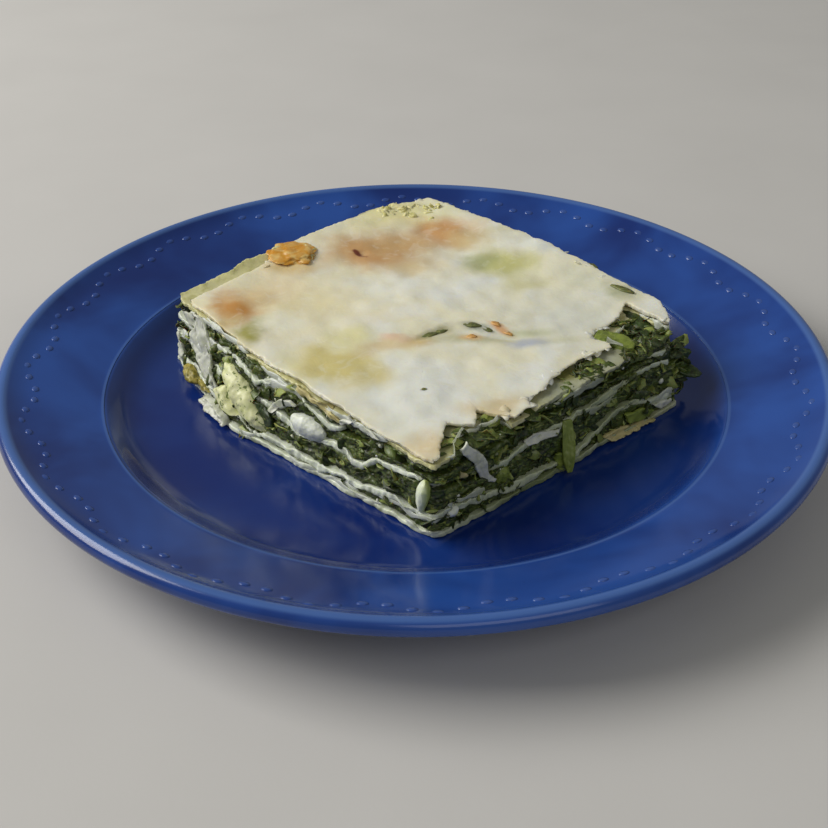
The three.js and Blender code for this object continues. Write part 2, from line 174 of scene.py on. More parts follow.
class Recipe:
    """A procedural material that is put together node by node on Object coordinates."""

    WANDER_DETAIL = 5

    def __init__(self, name: str) -> None:
        """Makes the material with its principled shader."""
        self.material = bpy.data.materials.new(name)
        self.material.use_nodes = True
        self.tree = self.material.node_tree
        self.shader = self.tree.nodes["Principled BSDF"]
        self.place = self.add("ShaderNodeTexCoord").outputs["Object"]

    def add(self, kind: str, **settings: object) -> bpy.types.Node:
        """Adds a node and sets its properties."""
        node = self.tree.nodes.new(kind)
        for key, value in settings.items():
            setattr(node, key, value)
        return node

    def feed(self, socket: bpy.types.NodeSocket, value: object) -> None:
        """Links a socket to another node's output, or sets its constant value."""
        if isinstance(value, bpy.types.NodeSocket):
            self.tree.links.new(value, socket)
        else:
            socket.default_value = value

    def stretched(self, stretch: Sequence[float], shift: float = 0.0) -> bpy.types.NodeSocket:
        """The place with each axis scaled, and shifted for another pattern."""
        node = self.add("ShaderNodeMapping")
        self.feed(node.inputs["Vector"], self.place)
        node.inputs["Scale"].default_value = stretch
        node.inputs["Location"].default_value = (shift, 0.6 * shift, -0.8 * shift)
        return node.outputs["Vector"]

    def lumps(
        self,
        size: float,
        detail: float = 2.0,
        warp: float = 0.0,
        stretch: Sequence[float] = (1, 1, 1),
        shift: float = 0.0,
    ) -> bpy.types.NodeSocket:
        """Cloudy noise from 0 to 1.

        Args:
            size: The length of one lump, in millimetres.
            detail: How many finer octaves it has.
            warp: How far it is twisted.
            stretch: The scale of each axis, below 1 for longer lumps.
            shift: A shift in metres that gives another pattern.

        Returns:
            The noise's output socket.
        """
        node = self.add("ShaderNodeTexNoise")
        self.feed(node.inputs["Vector"], self.stretched(stretch, shift))
        node.inputs["Scale"].default_value = 1 / (size * MM)
        node.inputs["Detail"].default_value = detail
        node.inputs["Distortion"].default_value = warp
        return node.outputs["Fac"]

    def attribute(self, name: str) -> bpy.types.NodeSocket:
        """A number that the mesh carries at each of its points."""
        return self.add("ShaderNodeAttribute", attribute_name=name).outputs["Fac"]

    def step(
        self, value: bpy.types.NodeSocket, low: float, high: float, top: float = 1.0
    ) -> bpy.types.NodeSocket:
        """A soft step of a value, from 0 at low to top at high."""
        node = self.add("ShaderNodeMapRange", interpolation_type="SMOOTHSTEP")
        self.feed(node.inputs["Value"], value)
        node.inputs["From Min"].default_value = low
        node.inputs["From Max"].default_value = high
        node.inputs["To Max"].default_value = top
        return node.outputs["Result"]

    def clouds(self, clouds: Clouds) -> bpy.types.NodeSocket:
        """The share of clouds at each point."""
        lumps = self.lumps(clouds.size, clouds.detail, clouds.warp, clouds.stretch, clouds.shift)
        return self.step(lumps, *clouds.edges, clouds.strength)

    def uneven(self, clouds: Clouds, least: float) -> bpy.types.NodeSocket:
        """A roughness that is higher in the clouds."""
        return self.math("ADD", self.clouds(clouds), least)

    def math(self, operation: str, a: object, b: object = 0.0) -> bpy.types.NodeSocket:
        """A sum, product or other operation on two values."""
        node = self.add("ShaderNodeMath", operation=operation)
        self.feed(node.inputs[0], a)
        self.feed(node.inputs[1], b)
        return node.outputs["Value"]

    def blend(self, share: object, below: object, above: object) -> bpy.types.NodeSocket:
        """Two colours mixed by a share."""
        node = self.add("ShaderNodeMix", data_type="RGBA")
        self.feed(node.inputs[0], share)
        self.feed(node.inputs[6], below)
        self.feed(node.inputs[7], above)
        return node.outputs[2]

    def wandering(self, reach: float, size: float = 9.0) -> bpy.types.NodeSocket:
        """The place, shifted by noise by up to reach millimetres, so that edges wander."""
        clouds = self.add("ShaderNodeTexNoise")
        self.feed(clouds.inputs["Vector"], self.place)
        clouds.inputs["Scale"].default_value = 1 / (size * MM)
        clouds.inputs["Detail"].default_value = self.WANDER_DETAIL
        centred = self.add("ShaderNodeVectorMath", operation="SUBTRACT")
        self.feed(centred.inputs[0], clouds.outputs["Color"])
        centred.inputs[1].default_value = (0.5, 0.5, 0.5)
        scaled = self.add("ShaderNodeVectorMath", operation="MULTIPLY_ADD")
        self.feed(scaled.inputs[0], centred.outputs[0])
        scaled.inputs[1].default_value = (2 * reach * MM,) * 3
        self.feed(scaled.inputs[2], self.place)
        return scaled.outputs[0]

    def patched(
        self, place: bpy.types.NodeSocket, patch: Patch, colour: bpy.types.NodeSocket
    ) -> bpy.types.NodeSocket:
        """Lays one patch over a colour, at a place that may wander."""
        local = self.add("ShaderNodeMapping", vector_type="TEXTURE")
        self.feed(local.inputs["Vector"], place)
        local.inputs["Location"].default_value = mm(*patch.at)
        local.inputs["Rotation"].default_value = (0, 0, math.radians(patch.turn))
        local.inputs["Scale"].default_value = (patch.radii[0] * MM, patch.radii[1] * MM, 1)
        reach = self.add("ShaderNodeVectorMath", operation="LENGTH")
        self.feed(reach.inputs[0], local.outputs[0])
        outer = 1 + patch.softness / 2
        inner = 1 - patch.softness
        share = self.step(reach.outputs["Value"], outer, inner, patch.strength)
        return self.blend(share, colour, patch.colour)

    def radius(self) -> bpy.types.NodeSocket:
        """The distance from the plate's upright axis, in metres."""
        node = self.add("ShaderNodeVectorMath", operation="LENGTH")
        self.feed(node.inputs[0], self.stretched((1, 1, 0)))
        return node.outputs["Value"]

    def height(self) -> bpy.types.NodeSocket:
        """The height above the floor, in metres."""
        node = self.add("ShaderNodeSeparateXYZ")
        self.feed(node.inputs["Vector"], self.place)
        return node.outputs["Z"]

    def relief(self, relief: Relief, over: bpy.types.NodeSocket | None = None) -> bpy.types.NodeSocket:
        """The normal bent by a fine relief, over another bent normal where there is one."""
        lumps = self.lumps(relief.size, relief.detail, relief.warp, relief.stretch)
        node = self.add("ShaderNodeBump")
        node.inputs["Distance"].default_value = relief.depth * MM
        self.feed(node.inputs["Height"], lumps)
        if over is not None:
            self.feed(node.inputs["Normal"], over)
        return node.outputs["Normal"]

    def finish(
        self, colour: object, roughness: object, normal: bpy.types.NodeSocket, **constants: object
    ) -> bpy.types.Material:
        """Sets the shader's sockets.

        Args:
            colour: The base colour.
            roughness: The roughness.
            normal: The bumped normal.
            **constants: Further sockets by name, with _ for a space.

        Returns:
            The finished material.
        """
        self.feed(self.shader.inputs["Base Color"], colour)
        self.feed(self.shader.inputs["Roughness"], roughness)
        self.feed(self.shader.inputs["Normal"], normal)
        for name, value in constants.items():
            self.shader.inputs[name.replace("_", " ")].default_value = value
        return self.material


@dataclass(frozen=True)
class GlazeFinish:
    """A glossy cobalt glaze, darker in the well (glaze that pools there, and painted shade) and lighter on
    the shoulder and lip (thin glaze, and painted highlight).

    Radii and heights are in millimetres.
    """

    name: str = "cobalt_glaze"
    deep: Colour = srgb(18, 44, 110)
    light: Colour = srgb(38, 79, 158)
    drift: Clouds = Clouds(46, 3, (0.3, 0.72), warp=0.4)
    # Darker blue in the well: glaze that pools there, and painted shade and dark reflection.
    pooled_and_shaded: Colour = srgb(10, 32, 98)
    well_radius: float = 97.0
    well_fade: float = 6.0
    well_share: float = 0.65
    # Painted highlight, with thin glaze: the lighter line on the shoulder and the lip's top.
    thinned: Colour = srgb(78, 112, 172)
    shoulder_radius: float = 102.2
    shoulder_line: Pair = (0.2, 0.8)
    shoulder_share: float = 0.45
    lip_radii: Pair = (130.0, 134.2)
    lip_fade: float = 1.2
    lip_share: float = 0.7
    lip_heights: Pair = (20.8, 21.8)
    speck: Colour = srgb(14, 24, 66)
    specks: Clouds = Clouds(0.7, 1, (0.72, 0.8), 0.25)
    bare_clay: Colour = srgb(196, 184, 164)
    foot_heights: Pair = (0.5, 0.75)
    foot_roughness: float = 0.6
    roughness: float = 0.16
    smears: Clouds = Clouds(9, 2, (0.2, 0.8), 0.05)
    ripples: Relief = Relief(14, 1, 0.03)

    def material(self) -> bpy.types.Material:
        """The glaze with its faint clouds, specks and ripples."""
        recipe = Recipe(self.name)
        colour = recipe.blend(recipe.clouds(self.drift), self.deep, self.light)
        radius = recipe.radius()
        edge = self.well_radius + self.well_fade
        # Darkens the well: glaze that pools there, and painted shade.
        in_well = recipe.step(radius, edge * MM, self.well_radius * MM, self.well_share)
        colour = recipe.blend(in_well, colour, self.pooled_and_shaded)
        # Lightens the shoulder line and the lip's top: thin glaze and painted highlight.
        thin = self.thin_and_highlit_places(recipe, radius)
        colour = recipe.blend(thin, colour, self.thinned)
        colour = recipe.blend(recipe.clouds(self.specks), colour, self.speck)
        low, high = self.foot_heights
        on_foot = recipe.step(recipe.height(), high * MM, low * MM)
        colour = recipe.blend(on_foot, colour, self.bare_clay)
        roughness = recipe.math("MULTIPLY_ADD", on_foot, self.foot_roughness)
        recipe.feed(roughness.node.inputs[2], recipe.clouds(self.smears))
        roughness = recipe.math("ADD", roughness, self.roughness)
        normal = recipe.relief(self.ripples)
        return recipe.finish(
            colour, roughness, normal, Coat_Weight=0.14, Coat_Roughness=0.1, IOR=1.45
        )

    def thin_and_highlit_places(self, recipe: Recipe, radius: bpy.types.NodeSocket) -> bpy.types.NodeSocket:
        """Where the glaze is thin and a highlight is painted: a line on the shoulder round the well, and the
        lip's top.
        """
        from_shoulder = recipe.math("SUBTRACT", radius, self.shoulder_radius * MM)
        from_shoulder = recipe.math("ABSOLUTE", from_shoulder)
        near, far = self.shoulder_line
        on_shoulder = recipe.step(from_shoulder, far * MM, near * MM, self.shoulder_share)
        inner, outer = self.lip_radii
        on_lip = recipe.step(radius, inner * MM, (inner + self.lip_fade) * MM, self.lip_share)
        inside = recipe.step(radius, outer * MM, (outer - self.lip_fade) * MM)
        low, high = self.lip_heights
        above = recipe.step(recipe.height(), low * MM, high * MM)
        on_lip = recipe.math("MULTIPLY", on_lip, recipe.math("MULTIPLY", inside, above))
        return recipe.math("MAXIMUM", on_shoulder, on_lip)


@dataclass(frozen=True)
class Patch:
    """A soft-edged patch of another colour on the crust, seen from above, in millimetres."""

    at: Pair
    radii: Pair
    colour: Colour
    turn: float = 0.0
    strength: float = 0.8
    softness: float = 0.6


@dataclass(frozen=True)
class CrustFinish:
    """Thin baked pastry: cream to white, browned in places, with the filling shining through."""

    cream: Colour = srgb(230, 226, 199)
    white: Colour = srgb(230, 231, 220)
    haze: Clouds = Clouds(22, 3, (0.38, 0.66), warp=0.6)
    mottled: Colour = srgb(214, 206, 166)
    mottle: Clouds = Clouds(5, 3, (0.5, 0.8), 0.28, warp=0.5)
    creased: Colour = srgb(238, 237, 226)
    creases: Clouds = Clouds(7, 5, (0.54, 0.66), 0.16, warp=1.6, shift=0.04)
    toasted: Colour = srgb(206, 190, 138)
    toasted_share: float = 0.25
    roughness: float = 0.36
    smears: Clouds = Clouds(9, 3, (0.3, 0.75), 0.22)
    floury: Relief = Relief(1.1, 3, 0.05)
    puckers: Relief = Relief(6, 3, 0.2, warp=0.8)
    wander: Pair = (9, 16)
    slit_wander: Pair = (1.2, 4)
    patches: tuple[Patch, ...] = (
        Patch((-44, 12), (30, 26), srgb(226, 211, 160), strength=0.7, softness=0.9),
        Patch((-8, 81), (26, 16), srgb(224, 216, 154), strength=0.85, softness=0.8),
        Patch((-36, -28), (14, 5), srgb(228, 222, 172), -44, 0.8, 0.8),
        Patch((0, -44), (22, 22), srgb(228, 230, 220), strength=0.8, softness=0.7),
        Patch((52, 4), (24, 18), srgb(214, 217, 206), strength=0.7, softness=0.9),
        Patch((-52, 20), (10, 7), srgb(216, 190, 140), 20, 0.8, 0.9),
        Patch((-60, 10.5), (8, 12), srgb(196, 140, 70), 20, 0.95, 0.75),
        Patch((-52.5, -3.5), (4.5, 8.5), srgb(152, 148, 54), -8, 0.9, 0.8),
        Patch((-24, -24), (17, 13), srgb(208, 194, 124), -35, 0.9, 0.5),
        Patch((-9, -12), (13, 5), srgb(216, 192, 142), 15, 0.7, 0.8),
        Patch((-5, -6.5), (6, 3), srgb(226, 182, 152), 5, 0.6, 0.8),
        Patch((-12, 53), (27, 19), srgb(214, 192, 142), 4, 0.7, 0.8),
        Patch((-15, 51.5), (18, 14), srgb(194, 150, 98), -4, 0.95, 0.65),
        Patch((-4, 58), (13, 8), srgb(196, 160, 108), 10, 0.8, 0.8),
        Patch((12, 67), (13, 11), srgb(198, 148, 90), 20, 0.95, 0.7),
        Patch((19, 60), (9, 7), srgb(206, 182, 130), 0, 0.7, 0.9),
        Patch((2, 74), (9, 5), srgb(228, 210, 154), 0, 0.7, 0.9),
        Patch((-1, 39), (10, 5), srgb(208, 184, 130), 0, 0.7, 0.9),
        Patch((-62, -1), (5, 7), srgb(188, 164, 112), 0, 0.8, 0.9),
        Patch((-37, -35), (7, 5), srgb(228, 226, 190), 0, 0.6, 0.9),
        Patch((-21, -6), (9, 8), srgb(222, 215, 150), 0, 0.75, 0.9),
        Patch((-43, 41), (11, 6), srgb(212, 182, 116), 0, 0.8, 0.8),
        Patch((30, 42), (12, 9), srgb(190, 188, 108), -12, 0.8, 0.8),
        Patch((23, 44), (7, 6), srgb(156, 164, 116), 0, 0.6, 0.9),
        Patch((32, 61), (7, 5), srgb(208, 202, 164), 0, 0.7, 0.9),
        Patch((47, 50), (6, 6), srgb(204, 209, 202), 0, 0.6, 0.9),
        Patch((-46, 30), (10, 10), srgb(230, 212, 174), 20, 0.6, 0.9),
        Patch((-45, 2), (10, 7), srgb(234, 234, 216), 0, 0.7, 0.9),
        Patch((-1, 28), (14, 10), srgb(236, 235, 220), 20, 0.6, 0.9),
        Patch((-30, 2), (8, 7), srgb(230, 224, 190), 0, 0.6, 0.9),
        Patch((-8, 8), (12, 6), srgb(232, 222, 190), 20, 0.5, 0.9),
        Patch((-3, 10), (8, 5), srgb(238, 238, 226), 20, 0.7, 0.9),
        Patch((36, 29), (10, 6), srgb(204, 200, 148), 0, 0.7, 0.9),
        Patch((58, 31), (11, 6), srgb(208, 210, 188), -35, 0.6, 0.9),
        Patch((67, 19), (8, 4), srgb(158, 162, 122), -38, 0.8, 0.9),
        Patch((3.6, -67), (5.5, 8.5), srgb(220, 200, 158), 0, 0.85, 0.8),
        Patch((23, -48), (12, 5), srgb(216, 196, 152), 15, 0.8, 0.8),
        Patch((-19.1, 50.5), (2.6, 2.1), srgb(116, 60, 40), 0, 1.0, 0.45),
    )
    slit: tuple[Patch, ...] = (
        Patch((6, -6), (12, 7), srgb(200, 192, 146), 10, 0.45, 0.9),
        Patch((1, -10.5), (6, 3.5), srgb(206, 180, 124), 20, 0.8, 0.9),
        Patch((6, -4.6), (7.4, 2.6), srgb(122, 118, 58), 37, 0.85, 0.8),
        Patch((20, -9), (17, 3.6), srgb(182, 180, 140), -4, 0.75, 0.9),
        Patch((19.3, -1), (5.6, 2.4), srgb(112, 122, 98), -17, 0.75, 0.8),
        Patch((27.6, -1.9), (5.8, 1.8), srgb(216, 158, 96), -46, 0.85, 0.8),
        Patch((17.9, -7.4), (4.2, 2.8), srgb(220, 172, 106), 0, 0.85, 0.9),
        # Painted reflection: a pale blue sheen in the slit.
        Patch((35.5, -11), (7.5, 3.6), srgb(180, 186, 198), 16, 0.85, 0.7),
        Patch((36, -4.5), (9, 2.4), srgb(178, 184, 142), 4, 0.65, 0.9),
        Patch((47, -9), (7, 3.0), srgb(196, 196, 160), 10, 0.6, 0.9),
        Patch((2.4, -40), (1.2, 0.9), srgb(60, 66, 44), 0, 0.9, 0.7),
    )

    def material(self) -> bpy.types.Material:
        """The crust's clouds and patches, with a painted reflection in the slit, a toasted rim and a fine
        floury relief.
        """
        recipe = Recipe("baked_crust")
        colour = recipe.blend(recipe.clouds(self.haze), self.cream, self.white)
        broad = recipe.wandering(*self.wander)
        for patch in self.patches:
            colour = recipe.patched(broad, patch, colour)
        narrow = recipe.wandering(*self.slit_wander)
        for patch in self.slit:
            colour = recipe.patched(narrow, patch, colour)
        colour = recipe.blend(recipe.clouds(self.mottle), colour, self.mottled)
        colour = recipe.blend(recipe.clouds(self.creases), colour, self.creased)
        rim = recipe.math("MULTIPLY", recipe.attribute("rim"), self.toasted_share)
        colour = recipe.blend(rim, colour, self.toasted)
        roughness = recipe.uneven(self.smears, self.roughness)
        normal = recipe.relief(self.puckers, recipe.relief(self.floury))
        return recipe.finish(
            colour,
            roughness,
            normal,
            Specular_IOR_Level=0.35,
            Subsurface_Weight=0.3,
            Subsurface_Radius=(1.0, 0.8, 0.4),
            Subsurface_Scale=0.002,
        )


@dataclass(frozen=True)
class PastryFinish:
    """Soft boiled-looking pastry sheets, white and a little see-through, stained by the filling."""

    name: str
    pale: Colour
    stained: Colour
    stain_share: float = 0.5
    patches: tuple[Patch, ...] = ()
    wander: Pair = (4, 6)
    freckles: Clouds = Clouds(1.3, 3, (0.45, 0.8), 0.3)
    roughness: float = 0.3
    smears: Clouds = Clouds(3, 3, (0.3, 0.8), 0.25)
    grain: Relief = Relief(0.8, 3, 0.07)

    def material(self) -> bpy.types.Material:
        """Pale pastry with green stains and a moist surface."""
        recipe = Recipe(self.name)
        stains = Clouds(5, 4, (0.48, 0.75), self.stain_share, warp=0.8)
        colour = recipe.blend(recipe.clouds(stains), self.pale, self.stained)
        broad = recipe.wandering(*self.wander)
        # Patches where given: painted shade and painted light on parts of a sheet, and some real stains.
        for patch in self.patches:
            colour = recipe.patched(broad, patch, colour)
        colour = recipe.blend(recipe.clouds(self.freckles), colour, self.stained)
        roughness = recipe.uneven(self.smears, self.roughness)
        normal = recipe.relief(self.grain)
        return recipe.finish(
            colour,
            roughness,
            normal,
            Subsurface_Weight=0.3,
            Subsurface_Radius=(0.8, 0.9, 0.5),
            Subsurface_Scale=0.0015,
        )


@dataclass(frozen=True)
class SpinachFinish:
    """Cooked, wet spinach: near black in its folds and lighter where the leaf is thin."""

    name: str
    dark: Colour
    mid: Colour
    light: Colour
    shaded: bool = False
    mottle: Clouds = Clouds(2.4, 4, (0.36, 0.68), warp=1.0, stretch=(1, 1, 1.6))
    broad: Clouds = Clouds(8, 2, (0.46, 0.66), 0.65, 0.5, (1, 1, 1.4), 0.05)
    veins: Clouds = Clouds(1.4, 3, (0.56, 0.74), 0.7, 1.2, (1, 1, 1.8), 0.02)
    dark_shades: Triple = (0.45, 0.0, 0.75)
    light_shades: Triple = (0.6, 0.95, 0.85)
    roughness: float = 0.34
    smears: Clouds = Clouds(1.6, 3, (0.3, 0.75), 0.3)
    wrinkles: Relief = Relief(0.9, 3, 0.1, warp=0.6)

    def material(self) -> bpy.types.Material:
        """Mottled wet green, by the shade of each leaf where the mesh has one."""
        recipe = Recipe(self.name)
        colour = recipe.blend(recipe.clouds(self.mottle), self.dark, self.mid)
        colour = recipe.blend(recipe.clouds(self.broad), colour, self.mid)
        colour = recipe.blend(recipe.clouds(self.veins), colour, self.light)
        if self.shaded:
            shade = recipe.attribute("shade")
            colour = recipe.blend(recipe.step(shade, *self.dark_shades), colour, self.dark)
            colour = recipe.blend(recipe.step(shade, *self.light_shades), colour, self.light)
        roughness = recipe.uneven(self.smears, self.roughness)
        normal = recipe.relief(self.wrinkles)
        return recipe.finish(
            colour, roughness, normal, Subsurface_Weight=0.15, Subsurface_Scale=0.001
        )


@dataclass(frozen=True)
class MoistFinish:
    """A smooth moist food such as cheese, egg, leek or stem, in two colours and with patches."""

    name: str
    main: Colour
    second: Colour
    size: float = 3.0
    share: float = 0.5
    stretch: Triple = (1, 1, 1)
    gloss: float = 0.35
    subsurface: float = 0.3
    relief: float = 0.08
    speck: Colour | None = None
    specks: Clouds = Clouds(1.5, 2, (0.6, 0.68), 0.9, warp=0.6, shift=0.03)
    patches: tuple[Patch, ...] = ()
    smears: Clouds = Clouds(2, 2, (0.3, 0.8), 0.2)

    def material(self) -> bpy.types.Material:
        """The main colour, clouds of the second, and patches and specks where it has them."""
        recipe = Recipe(self.name)
        clouds = Clouds(self.size, 3, (0.42, 0.7), self.share, 0.5, self.stretch)
        colour = recipe.blend(recipe.clouds(clouds), self.main, self.second)
        for patch in self.patches:
            colour = recipe.patched(recipe.place, patch, colour)
        if self.speck:
            colour = recipe.blend(recipe.clouds(self.specks), colour, self.speck)
        roughness = recipe.uneven(self.smears, self.gloss)
        normal = recipe.relief(Relief(0.9, 3, self.relief, stretch=self.stretch))
        return recipe.finish(
            colour,
            roughness,
            normal,
            Subsurface_Weight=self.subsurface,
            Subsurface_Radius=(1.0, 1.0, 0.6),
            Subsurface_Scale=0.0015,
        )


def add_piece(
    name: str, mesh: bpy.types.Mesh, material: bpy.types.Material, nodes: Sequence[str] = ()
) -> bpy.types.Object:
    """Enters a finished mesh in the frame.

    Args:
        name: The piece's name.
        mesh: Its mesh, already in place.
        material: Its finish.
        nodes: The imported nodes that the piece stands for.

    Returns:
        The new object.
    """
    mesh.materials.append(material)
    mesh.shade_smooth()
    piece = bpy.data.objects.new(name, mesh)
    bpy.context.scene.collection.objects.link(piece)
    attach(piece, BODY)
    if nodes:
        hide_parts(*nodes)
    LOG.info("%s: %d faces", name, len(mesh.polygons))
    return piece


def to_mesh(name: str, bm: bmesh.types.BMesh) -> bpy.types.Mesh:
    """Writes a bmesh to a new mesh and frees it."""
    mesh = bpy.data.meshes.new(name)
    bm.to_mesh(mesh)
    bm.free()
    return mesh


class PackedSolids:
    """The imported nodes, read as merged copies and as trees to search."""

    SPOT_EDGE = 2.5
    UPWARD = 0.5

    def __init__(self, nodes: dict[str, bpy.types.Object]) -> None:
        """Keeps the frame's nodes."""
        self.nodes = nodes

    def copy(self, *names: str) -> bmesh.types.BMesh:
        """A copy of some nodes with the corners of their loose triangles merged."""
        bm = bmesh.new()
        for name in names:
            bm.from_mesh(self.nodes[name].data)
        bmesh.ops.remove_doubles(bm, verts=bm.verts, dist=MERGE_DISTANCE)
        bm.normal_update()
        return bm

    def steep_places(self, name: str) -> list[Vector]:
        """The middles of a node's steep side faces."""
        bm = self.copy(name)
        steep = [face for face in bm.faces if abs(face.normal.z) < Side.STEEP]
        places = [face.calc_center_median() for face in steep]
        bm.free()
        return places

    def open_spots(self, name: str, cover: str) -> list[Spot]:
        """Places on top of a node where another one leaves it open."""
        bm = self.copy(name)
        refine(bm, self.SPOT_EDGE)
        above = self.tree(cover)
        spots = []
        for face in bm.faces:
            middle = face.calc_center_median()
            if face.normal.z > self.UPWARD and above.ray_cast(middle, UP)[0] is None:
                spots.append(Spot(middle, face.normal.copy(), face.calc_area()))
        bm.free()
        return spots

    def tree(self, *names: str, steep_only: bool = False) -> BVHTree:
        """A search tree of the nodes' faces, or of their steep side faces alone."""
        bm = self.copy(*names)
        if steep_only:
            flat = [face for face in bm.faces if abs(face.normal.z) > Side.STEEP]
            bmesh.ops.delete(bm, geom=flat, context="FACES")
        tree = BVHTree.FromBMesh(bm)
        bm.free()
        return tree


FOOD_LAYERS = (
    "base_pastry",
    "spinach_seam",
    "pastry_sheet_1",
    "spinach_lower",
    "pastry_sheet_2",
    "spinach_middle",
    "pastry_sheet_3",
    "spinach_upper",
    "pastry_sheet_4",
    "top_crust",
)
PASTRY_LAYERS = tuple(node for node in FOOD_LAYERS if "pastry" in node)


class Side:
    """Numbers that tell a layer's side faces from its upper and lower ones."""

    STEEP = 0.62
    OPEN_GAP = 0.4 * MM
    FAR = 60 * MM


def refine(bm: bmesh.types.BMesh, finest: float, longest: Longest | None = None, passes: int = 9) -> None:
    """Splits edges until none is longer than allowed at its place.

    Args:
        bm: The mesh to refine.
        finest: The length, in millimetres, up to which any edge stays whole.
        longest: Gives the longest edge allowed at a middle point with a normal, if it differs.
        passes: The most rounds of splitting.
    """
    for _ in range(passes):
        long_edges = []
        for edge in bm.edges:
            length = edge.calc_length()
            if length <= finest * MM:
                continue
            a, b = edge.verts
            if longest is None or length > longest((a.co + b.co) / 2, a.normal + b.normal):
                long_edges.append(edge)
        if not long_edges:
            break
        bmesh.ops.subdivide_edges(bm, edges=long_edges, cuts=1)
        many = [face for face in bm.faces if len(face.verts) > 3]
        bmesh.ops.triangulate(bm, faces=many, quad_method="SHORT_EDGE")
        bm.normal_update()


def relax(bm: bmesh.types.BMesh, rounds: int, only_height: bool = False, share: float = 0.5) -> None:
    """Smooths a mesh, in height alone where asked."""
    for _ in range(rounds):
        bmesh.ops.smooth_vert(
            bm,
            verts=bm.verts,
            factor=share,
            use_axis_x=not only_height,
            use_axis_y=not only_height,
            use_axis_z=True,
        )
    bm.normal_update()


@dataclass(frozen=True)
class Spot:
    """A place on a visible face of the filling, where small things can lie."""

    at: Vector
    normal: Vector
    area: float


@dataclass(frozen=True)
class Bump:
    """A soft hill or hollow of the crust, in millimetres, seen from above."""

    at: Pair
    radii: Pair
    height: float
    turn: float = 0.0

    def at_place(self, co: Vector) -> float:
        """Its height at a point, in metres."""
        local = co.xy - mm(*self.at).xy
        local.rotate(Matrix.Rotation(-math.radians(self.turn), 2))
        reach = (local.x / self.radii[0]) ** 2 + (local.y / self.radii[1]) ** 2
        return self.height * MM * math.exp(-reach / (MM * MM))


@dataclass
class Layer:
    """One layer of the slice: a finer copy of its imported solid.

    The fields are in millimetres: fine is the longest edge at the side, band the depth of the fine
    part, growth how fast edges lengthen further in, and ripple the height of small waves, which
    lean a little from layer to layer.
    """

    node: str
    piece: str
    fine: float = 0.55
    band: float = 1.2
    growth: float = 0.5
    ripple: float = 0.45
    ripple_size: float = 7.0
    ripple_shift: float = 3.1
    ripple_lean: float = 0.5

    def allowed(self, side: BVHTree) -> Longest:
        """The longest edge by the distance from the layer's side."""

        def longest(co: Vector, _normal: Vector) -> float:
            distance = side.find_nearest(co)[3] or 0.0
            return (self.fine + self.growth * max(0.0, distance / MM - self.band)) * MM

        return longest

    def wave(self, co: Vector) -> float:
        """The small wave that all layers share at one place, in metres."""
        place = Vector((co.x, co.y, self.ripple_lean * co.z))
        return self.ripple * MM * grain(place, self.ripple_size, self.ripple_shift)


@dataclass
class PastrySheet(Layer):
    """A pastry sheet: its cut edge is wavy, uneven in thickness and stands out here and there."""

    fine: float = 0.5
    band: float = 1.4
    jag: float = 0.8
    stand: float = 0.45
    swell: float = 0.55
    curl: float = 0.7
    seed: float = 0.0
    lifts: tuple[Bump, ...] = ()
    edge_depth: float = 1.3
    edge_waves: tuple[Waves, ...] = (Waves(4.5), Waves(1.5, 0.6, 5))
    mean_swell: float = 0.7
    swell_waves: Waves = Waves(6.5, 2.2, 9)
    swell_end: float = 0.8
    curl_waves: Waves = Waves(3.6, 1.0, 13)
    rounding: int = 3

    def build(self, solids: PackedSolids) -> bpy.types.Mesh:
        """Refines and shapes the sheet."""
        bm = solids.copy(self.node)
        side = solids.tree(self.node, steep_only=True)
        refine(bm, self.fine, self.allowed(side))
        relax(bm, self.rounding)
        self.shape(bm, side)
        return to_mesh(self.piece, bm)

    def shape(self, bm: bmesh.types.BMesh, side: BVHTree) -> None:
        """Moves the edge in and out and lets it swell and thin."""
        rim = bm.verts.layers.float.new("rim")
        moves = []
        for vert in bm.verts:
            _, outward, _, distance = side.find_nearest(vert.co)
            near = math.exp(-distance / (self.edge_depth * MM))
            flat_out = Vector((outward.x, outward.y, 0)).normalized()
            plan = Vector((vert.co.x, vert.co.y, 0))
            reach = sum(waves.at_place(plan, self.seed) for waves in self.edge_waves)
            thick = (self.mean_swell + self.swell_waves.at_place(plan, self.seed)) * self.swell
            level = soft_step(abs(vert.normal.z), 0.0, self.swell_end)
            move = flat_out * ((self.stand + reach * self.jag) * near * MM)
            move += UP * (thick * level * near * MM * vert.normal.z)
            curl = self.curl * self.curl_waves.at_place(plan, self.seed)
            move.z += self.wave(vert.co) + curl * near * MM
            move.z += sum(lift.at_place(vert.co) for lift in self.lifts)
            moves.append(move)
            vert[rim] = near
        for vert, move in zip(bm.verts, moves):
            vert.co += move


